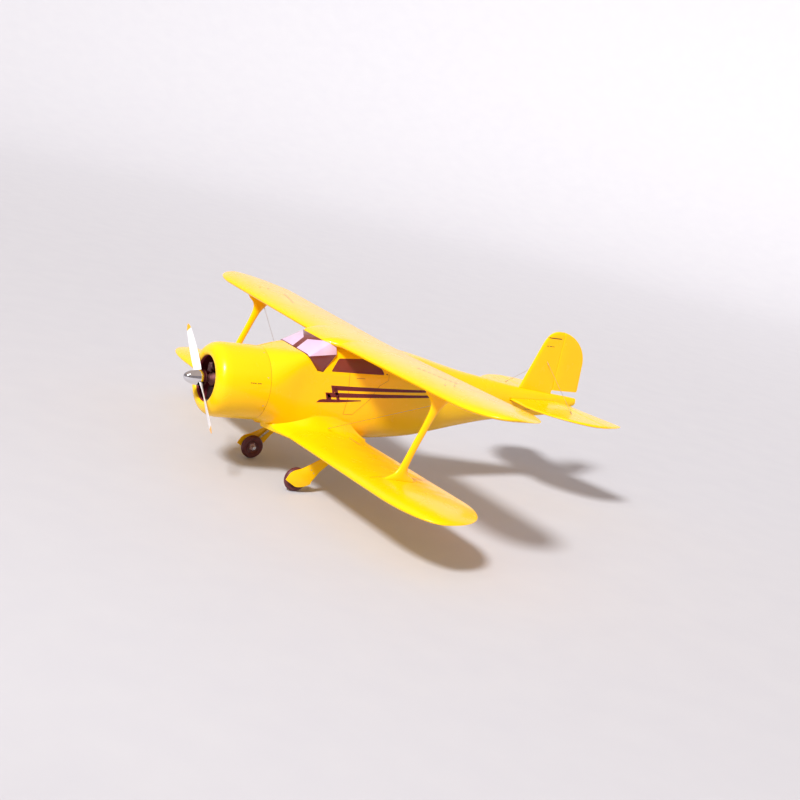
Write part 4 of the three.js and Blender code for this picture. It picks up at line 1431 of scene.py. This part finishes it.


# Wires with a small barrel at each end

wires = {
    "flying_wire": [(518, 462, 115.8), (110, 402, -84)],
    "tail_wire": [(5.2, 1180, 148), (176, 1180, 32.4)],
    "radius": 0.5, "barrel": 1.2, "barrelLength": 12,
}


def addWires():
    for name in ("flying_wire", "tail_wire"):
        start, end = (Vector(point) for point in wires[name])
        run = (end - start).normalized()
        bm = bmesh.new()
        tube(bm, [start, end], wires["radius"], 12)
        length = wires["barrelLength"]
        for base, way in ((start, run), (end, -run)):
            points = [base + way * step for step in (3, 3.6, 5, length - 2, length - 0.6, length)]
            tube(bm, points, [0.8, wires["barrel"], wires["barrel"], wires["barrel"], 1.0, 0.8], 14)
        mesh = finishMesh(name, bm)
        for sideName, side in sides.items():
            addPiece(f"{name}_cord_{sideName}", mesh if side > 0 else mirroredMesh(mesh, "twin"), "airframe",
                     finishes["steel"], [f"{name}_{sideName}"])


# Fin, rudder, tailplane and elevators. Each outline is a line and its two or three curves.

tail = {
    "noseLength": 16, "tipRound": 14, "thinnest": 0.18,
    "finHalf": 4.5, "planeHalf": 4, "gap": 1, "edgeHalf": 0.8, "finBottom": 46.2, "finTop": 244.4,
    "rudderBottom": 60.5, "rudderTop": 243.2, "planeTip": 283.4, "elevatorInner": 27, "elevatorTip": 282.6,
    "marks": [(1164, 222, 52, 2.6), (1165, 196, 7, 1.8), (1175, 196, 11, 1.8), (1189, 196, 5, 1.8)],
}


def bezier(a, b, c, d, steps=24):
    a, b, c, d = Vector(a), Vector(b), Vector(c), Vector(d)
    points = []
    for i in range(steps + 1):
        t = i / steps
        points.append(a * (1 - t) ** 3 + b * 3 * t * (1 - t) ** 2 + c * 3 * t * t * (1 - t) + d * t ** 3)
    return [tuple(point) for point in points]


# The first and last crossing of an outline of [out, aft] points at a distance out.
def crossings(outline, at):
    found = []
    for a, b in zip(outline, outline[1:] + outline[:1]):
        if (a[0] - at) * (b[0] - at) <= 0 and a[0] != b[0]:
            found.append(a[1] + (b[1] - a[1]) * (at - a[0]) / (b[0] - a[0]))
    return min(found), max(found)


# One section of a flat tail surface, from front to rear, as [aft, height] points.
def fixedSection(front, rear, half):
    noseLength = min(tail["noseLength"], (rear - front) * 0.6)
    top = []
    for i in range(9):
        angle = math.pi / 2 * i / 8
        top.append((front + noseLength * (1 - math.cos(angle)), half * math.sin(angle)))
    top += [(lerp(front + noseLength, rear, 0.5), half), (rear, half)]
    return top + [(y, -h) for y, h in reversed(top[1:])]


def movingSection(hinge, rear, half, edge):
    points = []
    for i in range(13):
        angle = math.pi / 2 + math.pi * i / 12
        points.append((hinge + half * math.cos(angle), half * math.sin(angle)))
    shares = (0.25, 0.5, 0.75, 0.93, 1)
    lower = [(lerp(hinge, rear, s), lerp(half, edge, s ** 1.2) * (1 if s < 1 else 0.4)) for s in shares]
    return points + [(y, -h) for y, h in lower] + [(y, h) for y, h in reversed(lower)]


# How much of its thickness a tail surface keeps at a level near its rounded tip.
def thinning(outline, level):
    tip = max(point[0] for point in outline)
    reach = min(1, max(tail["thinnest"], (tip - level) / tail["tipRound"]))
    return math.sqrt(1 - (1 - reach) ** 2)


def tailPiece(name, outline, levels, hinge, half, moving, put):
    rings = []
    for level in levels:
        front, rear = crossings(outline, level)
        thin = half * thinning(outline, level)
        if moving:
            section = movingSection(hinge, max(rear, hinge + 1.2), thin, tail["edgeHalf"] * thin / half)
        else:
            section = fixedSection(front, hinge - half - tail["gap"], thin)
        rings.append([place(*put(level, y, h)) for y, h in section])
    bm = bmesh.new()
    loft(bm, rings)
    return finishMesh(name, bm, 40)


def spread(low, high, count):
    return [low + (high - low) * math.sin(math.pi / 2 * i / count) for i in range(count + 1)]


def addTail():
    rudderPivot, _ = hingeOf("rudder_hinge")
    elevatorPivot, _ = hingeOf("elevator_hinge")
    level = elevatorPivot.z
    finLine = [(46, 1094), (209, 1155)]
    finLine += [(z, y) for y, z in bezier((1155, 209), (1166, 233), (1183, 245), (1211, 245))]
    finLine += [(z, y) for y, z in bezier((1211, 245), (1262, 245), (1323, 205), (1323, 143))]
    finLine += [(65, 1327), (60.5, 1325), (58.6, 1320), (60, 1226), (46, 1226)]

    def upright(z, y, h):
        return h, y, z

    levels = spread(tail["finBottom"], tail["finTop"], 56)
    fin = tailPiece("fin_surface", finLine, levels, rudderPivot.y, tail["finHalf"], False, upright)
    body = bmesh.new()
    count = 40
    bodyRings = [fuselageRing(lerp(1060, 1300, k / count), -0.4, 72) for k in range(count + 1)]
    loft(body, [[place(*point) for point in ring] for ring in bodyRings])
    hole = bmesh.new()
    turned(hole, [[0, -20], [1.4, -20], [1.4, 20], [0, 20]], (0, 1180, 150), "X", 20)
    fin = carve(fin, [finishMesh("body", body), finishMesh("hole", hole)])
    shade(fin, 40)
    addPiece("fin_surface", fin, "airframe", finishes["yellow"], ["fin"])
    levels = spread(tail["rudderBottom"], tail["rudderTop"], 56)
    rudder = tailPiece("rudder_surface", finLine, levels, rudderPivot.y, tail["finHalf"], True, upright)
    addPiece("rudder_surface", rudder, "rudder", finishes["yellow"], ["rudder"])
    planeLine = [(0, 1052), (110, 1052)] + bezier((110, 1052), (190, 1062), (284, 1150), (284, 1222))
    planeLine += bezier((284, 1222), (284, 1262), (272, 1300), (254, 1308))
    planeLine += bezier((254, 1308), (225, 1309), (130, 1278), (27, 1263)) + [(0, 1263)]
    halves, pieces = [], []
    for side in sides.values():
        def flat(x, y, h):
            return side * x, y, level + h

        levels = spread(0, tail["planeTip"], 60)
        halves.append(tailPiece("half", planeLine, levels, elevatorPivot.y, tail["planeHalf"], False, flat))
        levels = spread(tail["elevatorInner"], tail["elevatorTip"], 60)
        pieces.append(tailPiece("half", planeLine, levels, elevatorPivot.y, tail["planeHalf"], True, flat))
    plane = carve(halves[0], halves[1:], "UNION")
    shade(plane, 40)
    addPiece("tailplane_surface", plane, "airframe", finishes["yellow"], ["tailplane"])
    bm = bmesh.new()
    turned(bm, [[0, -40], [2.6, -40], [2.6, 40], [0, 40]], (0, elevatorPivot.y, level), "X", 28)
    joined = carve(finishMesh("joiner", bm), pieces, "UNION")
    shade(joined, 40)
    addPiece("elevator_surface", joined, "elevator", finishes["yellow"], ["elevator"])
    bm = bmesh.new()
    tube(bm, [(-6.6, 1126, -29), (6.6, 1126, -29)], 1.5, 20)
    addPiece("tail_axle", finishMesh("tail_axle", bm), "airframe", finishes["steel"],
             ["tail_wheel_axle"])
    bm = bmesh.new()
    half = [[1.8, -3.5], [8.6, -3.5], [10.4, -2.9], [12, -1.4], [12.5, 0]]
    turned(bm, bothFaces(half), (0, 1126, -29), "X", 48, True)
    addPiece("tail_tyre", finishMesh("tail_tyre", bm), "tail_wheel", finishes["tyre"],
             ["tail_wheel"])
    bm = bmesh.new()
    for side in sides.values():
        for y, z, width, deep in tail["marks"]:
            outline = [(y, z), (y + width, z), (y + width, z + deep), (y, z + deep)]
            sidePatch(bm, outline, side, 0.3, 0.5, 6, partial(finSkin, finLine))
    addPiece("fin_marks", finishMesh("fin_marks", bm), "airframe", finishes["maroon"])


# How far out the fin's surface is: its thickness rounds off towards the leading edge and the top.
def finSkin(outline, y, z):
    front = crossings(outline, z)[0]
    share = min(1, max(0, (y - front) / tail["noseLength"]))
    return tail["finHalf"] * thinning(outline, z) * math.sqrt(1 - (1 - share) ** 2)


# Main landing gear

gear = {
    "legX": 152, "legRadius": 2.6, "coilRadius": 3.9, "coilWire": 0.75, "coilTurns": 9, "coverX": 158,
    "coverThickness": 2, "boltCircle": 10.6, "bolts": 5,
}


def coverOutline():
    def quadratic(a, b, c, steps=8):
        a, b, c = Vector(a), Vector(b), Vector(c)
        return [tuple(a * (1 - t) ** 2 + b * 2 * t * (1 - t) + c * t * t)
                for t in (i / steps for i in range(1, steps + 1))]
    points = [(420, -129), (342, -175)] + quadratic((342, -175), (322, -188), (306, -192))
    points += quadratic((306, -192), (292, -196), (286, -204)) + [(277, -221), (308, -239)]
    points += quadratic((308, -239), (330, -244), (355, -231))
    points += quadratic((355, -231), (355, -222), (362, -215))
    return points + [(376, -194), (398, -172), (450, -129)]


def addGear():
    pivot, _ = hingeOf("gear_port_retract")
    wheel = centreOf("tyre_port")
    top = Vector((gear["legX"], pivot.y - 12, pivot.z - 11))
    foot = Vector((gear["legX"] + 1, wheel.y, wheel.z))
    meshes = {}
    bm = bmesh.new()
    tube(bm, [pivot + Vector((0, -9, 0)), pivot + Vector((0, 10, 0))], 4, 28)
    run = (foot - top).normalized()
    bend = [pivot + Vector((0, 1, 0)), pivot + Vector((2.6, -3, -3.6)), top, top + run * 9]
    path = through(bend, 6) + [top + run * 60, foot - run * 8]
    path += through([foot - run * 7, foot + Vector((-0.6, 1.2, -0.2)), foot + Vector((-6, 0, 0))], 6)
    path += [(123, wheel.y, wheel.z)]
    tube(bm, path, gear["legRadius"] - 0.1, 24)
    meshes["leg_wire"] = finishMesh("leg_wire", bm)
    bm = bmesh.new()
    start, end = top.lerp(foot, 0.52), top.lerp(foot, 0.68)
    across = run.orthogonal().normalized()
    over = run.cross(across)
    coil = []
    steps = gear["coilTurns"] * 16
    for i in range(steps + 1):
        angle = 2 * math.pi * i / 16
        coil.append(start.lerp(end, i / steps) + (across * math.cos(angle) + over * math.sin(angle))
                    * (gear["coilRadius"] - gear["coilWire"] + 0.4))
    tube(bm, coil, gear["coilWire"], 8)
    tube(bm, [start - run * 2.4, start - run * 0.4], 4.2, 28)
    tube(bm, [end + run * 0.4, end + run * 2.4], 4.2, 28)
    meshes["leg_spring"] = finishMesh("leg_spring", bm)
    outer = gear["coverX"] + gear["coverThickness"]
    outline = rounded(coverOutline(), 2.4, 3)
    meshes["cover_plate"] = prism("cover_plate", outline, gear["coverX"] + 0.02, outer)
    bm = bmesh.new()
    for y, z in ((349, -190), (358, -199)):
        screwHead(bm, (outer, y, z), (1, 0, 0), 1.5, 0.8)
    meshes["cover_screws"] = finishMesh("cover_screws", bm)
    bm = bmesh.new()
    half = [[18.4, -6], [19.4, -7.2], [22, -8.2], [24.4, -8.4], [25, -8.1], [25.6, -8.35], [28, -8.2],
            [30.2, -7.3], [31.6, -5.9], [32.5, -4.4], [33.2, -2.2], [33.4, -1.4], [32.9, -1.1], [32.9, -0.7],
            [33.5, -0.4]]
    turned(bm, bothFaces(half), wheel, "X", 96, True)
    meshes["wheel_tyre"] = finishMesh("wheel_tyre", bm, 50)
    bm = bmesh.new()
    half = [[2.9, -7], [5.4, -7], [6, -6.6], [6.8, -4.6], [8, -4], [14.4, -3.5], [16.4, -4.6],
            [17.4, -6.2], [18, -6.4]]
    turned(bm, bothFaces(half), wheel, "X", 72, True)
    meshes["wheel_disc"] = finishMesh("wheel_disc", bm, 35)
    bm = bmesh.new()
    for k in range(gear["bolts"]):
        angle = 2 * math.pi * k / gear["bolts"]
        at = wheel + Vector((0, math.cos(angle), math.sin(angle))) * gear["boltCircle"]
        for way in (-1, 1):
            screwHead(bm, at + Vector((way * 3.8, 0, 0)), (way, 0, 0), 1.3, 0.9)
    meshes["wheel_bolts"] = finishMesh("wheel_bolts", bm)
    bm = bmesh.new()
    turned(bm, [[2.9, 124], [4.2, 124], [4.6, 124.5], [4.6, 129.1], [4.2, 129.6], [2.9, 129.6]],
           (0, wheel.y, wheel.z), "X", 40, True)
    meshes["collar_ring"] = finishMesh("collar_ring", bm)
    plans = {
        "leg_wire": ("gear", "steel", "steel", "gear_leg"),
        "leg_spring": ("gear", "chrome_plate", "chrome", None),
        "cover_plate": ("gear", "yellow_gloss", "yellow", "gear_cover"),
        "cover_screws": ("gear", "steel", "steel", None),
        "wheel_tyre": ("wheel", "tyre_rubber", "tyre", "tyre"),
        "wheel_disc": ("wheel", "hub_plastic", "hub", "wheel_hub"),
        "wheel_bolts": ("wheel", "steel", "steel", None),
        "collar_ring": ("gear", "chrome_plate", "chrome", "axle_collar"),
    }
    for name, (body, slotName, finish, node) in plans.items():
        pair = {"port": meshes[name], "starboard": mirroredMesh(meshes[name], f"{name}_twin")}
        for sideName, mesh in pair.items():
            piece = addPiece(f"{name}_{sideName}", mesh, f"{body}_{sideName}", finishes[finish],
                             [f"{node}_{sideName}"] if node else ())
            if name == "cover_plate":
                softenEdges(piece, 0.5, 2)


# Equipment and joiner tubes inside

def addEquipment():
    for node in ("upper_spar_tube", "lower_spar_tube"):
        low, high = boxOf(node)
        centre = (low + high) / 2
        radius = (high.z - low.z) / 2
        bm = bmesh.new()
        turned(bm, [[radius - 1, low.x], [radius - 0.3, low.x], [radius, low.x + 0.5], [radius, high.x - 0.5],
                    [radius - 0.3, high.x], [radius - 1, high.x]], (0, centre.y, centre.z), "X", 40, True)
        addPiece(f"{node}_wall", finishMesh(node, bm), "airframe", finishes["aluminium"], [node])
    boxes = {
        "fuel_tank": (6, "clear_plastic", "milky"), "flight_battery": (2, "black_nylon", "nylon"),
        "radio_receiver": (1.5, "black_nylon", "nylon"), "servo_throttle": (1.2, "black_nylon", "nylon"),
        "servo_elevator": (1.2, "black_nylon", "nylon"), "servo_rudder": (1.2, "black_nylon", "nylon"),
    }
    for node, (radius, slotName, finish) in boxes.items():
        softenEdges(copyOf(node, f"{node}_case", "airframe", finish), radius, 4)
    bm = bmesh.new()
    for node in ("servo_throttle", "servo_elevator", "servo_rudder"):
        low, high = boxOf(node)
        centre = (low + high) / 2
        turned(bm, [[0, high.z - 0.5], [6, high.z - 0.5], [6, high.z + 1], [3, high.z + 1.4], [3, high.z + 4],
                    [0, high.z + 4]], (centre.x, low.y + 10, 0), "Z", 32)
    addPiece("servo_shafts", finishMesh("servo_shafts", bm), "airframe", finishes["nylon"])
    bm = bmesh.new()
    low, high = boxOf("fuel_tank")
    turned(bm, [[0, low.y - 6], [7, low.y - 6], [8, low.y - 5], [8, low.y + 1], [0, low.y + 1]],
           (0, 0, (low.z + high.z) / 2), "Y", 40)
    addPiece("tank_cap", finishMesh("tank_cap", bm), "airframe", finishes["nylon"])


print("camera and light")
addCamera()
addStudio()
for stageName, build in {
    "fuselage": addFuselage, "cowl": addCowl, "airscrew": addAirscrew, "engine": addEngine,
    "windscreen": addScreen, "windows": addWindows, "markings": addMarks, "wings": addWings,
    "wing marks": addWingMarks, "struts": addStruts, "wires": addWires, "tail": addTail,
    "landing gear": addGear, "equipment": addEquipment,
}.items():
    print(stageName)
    build()

for nodeName in ("firewall", "equipment_tray"):
    node = frame["nodes"][nodeName]
    node.data.materials.clear()
    node.data.materials.append(finishes["ply"])

low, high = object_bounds()
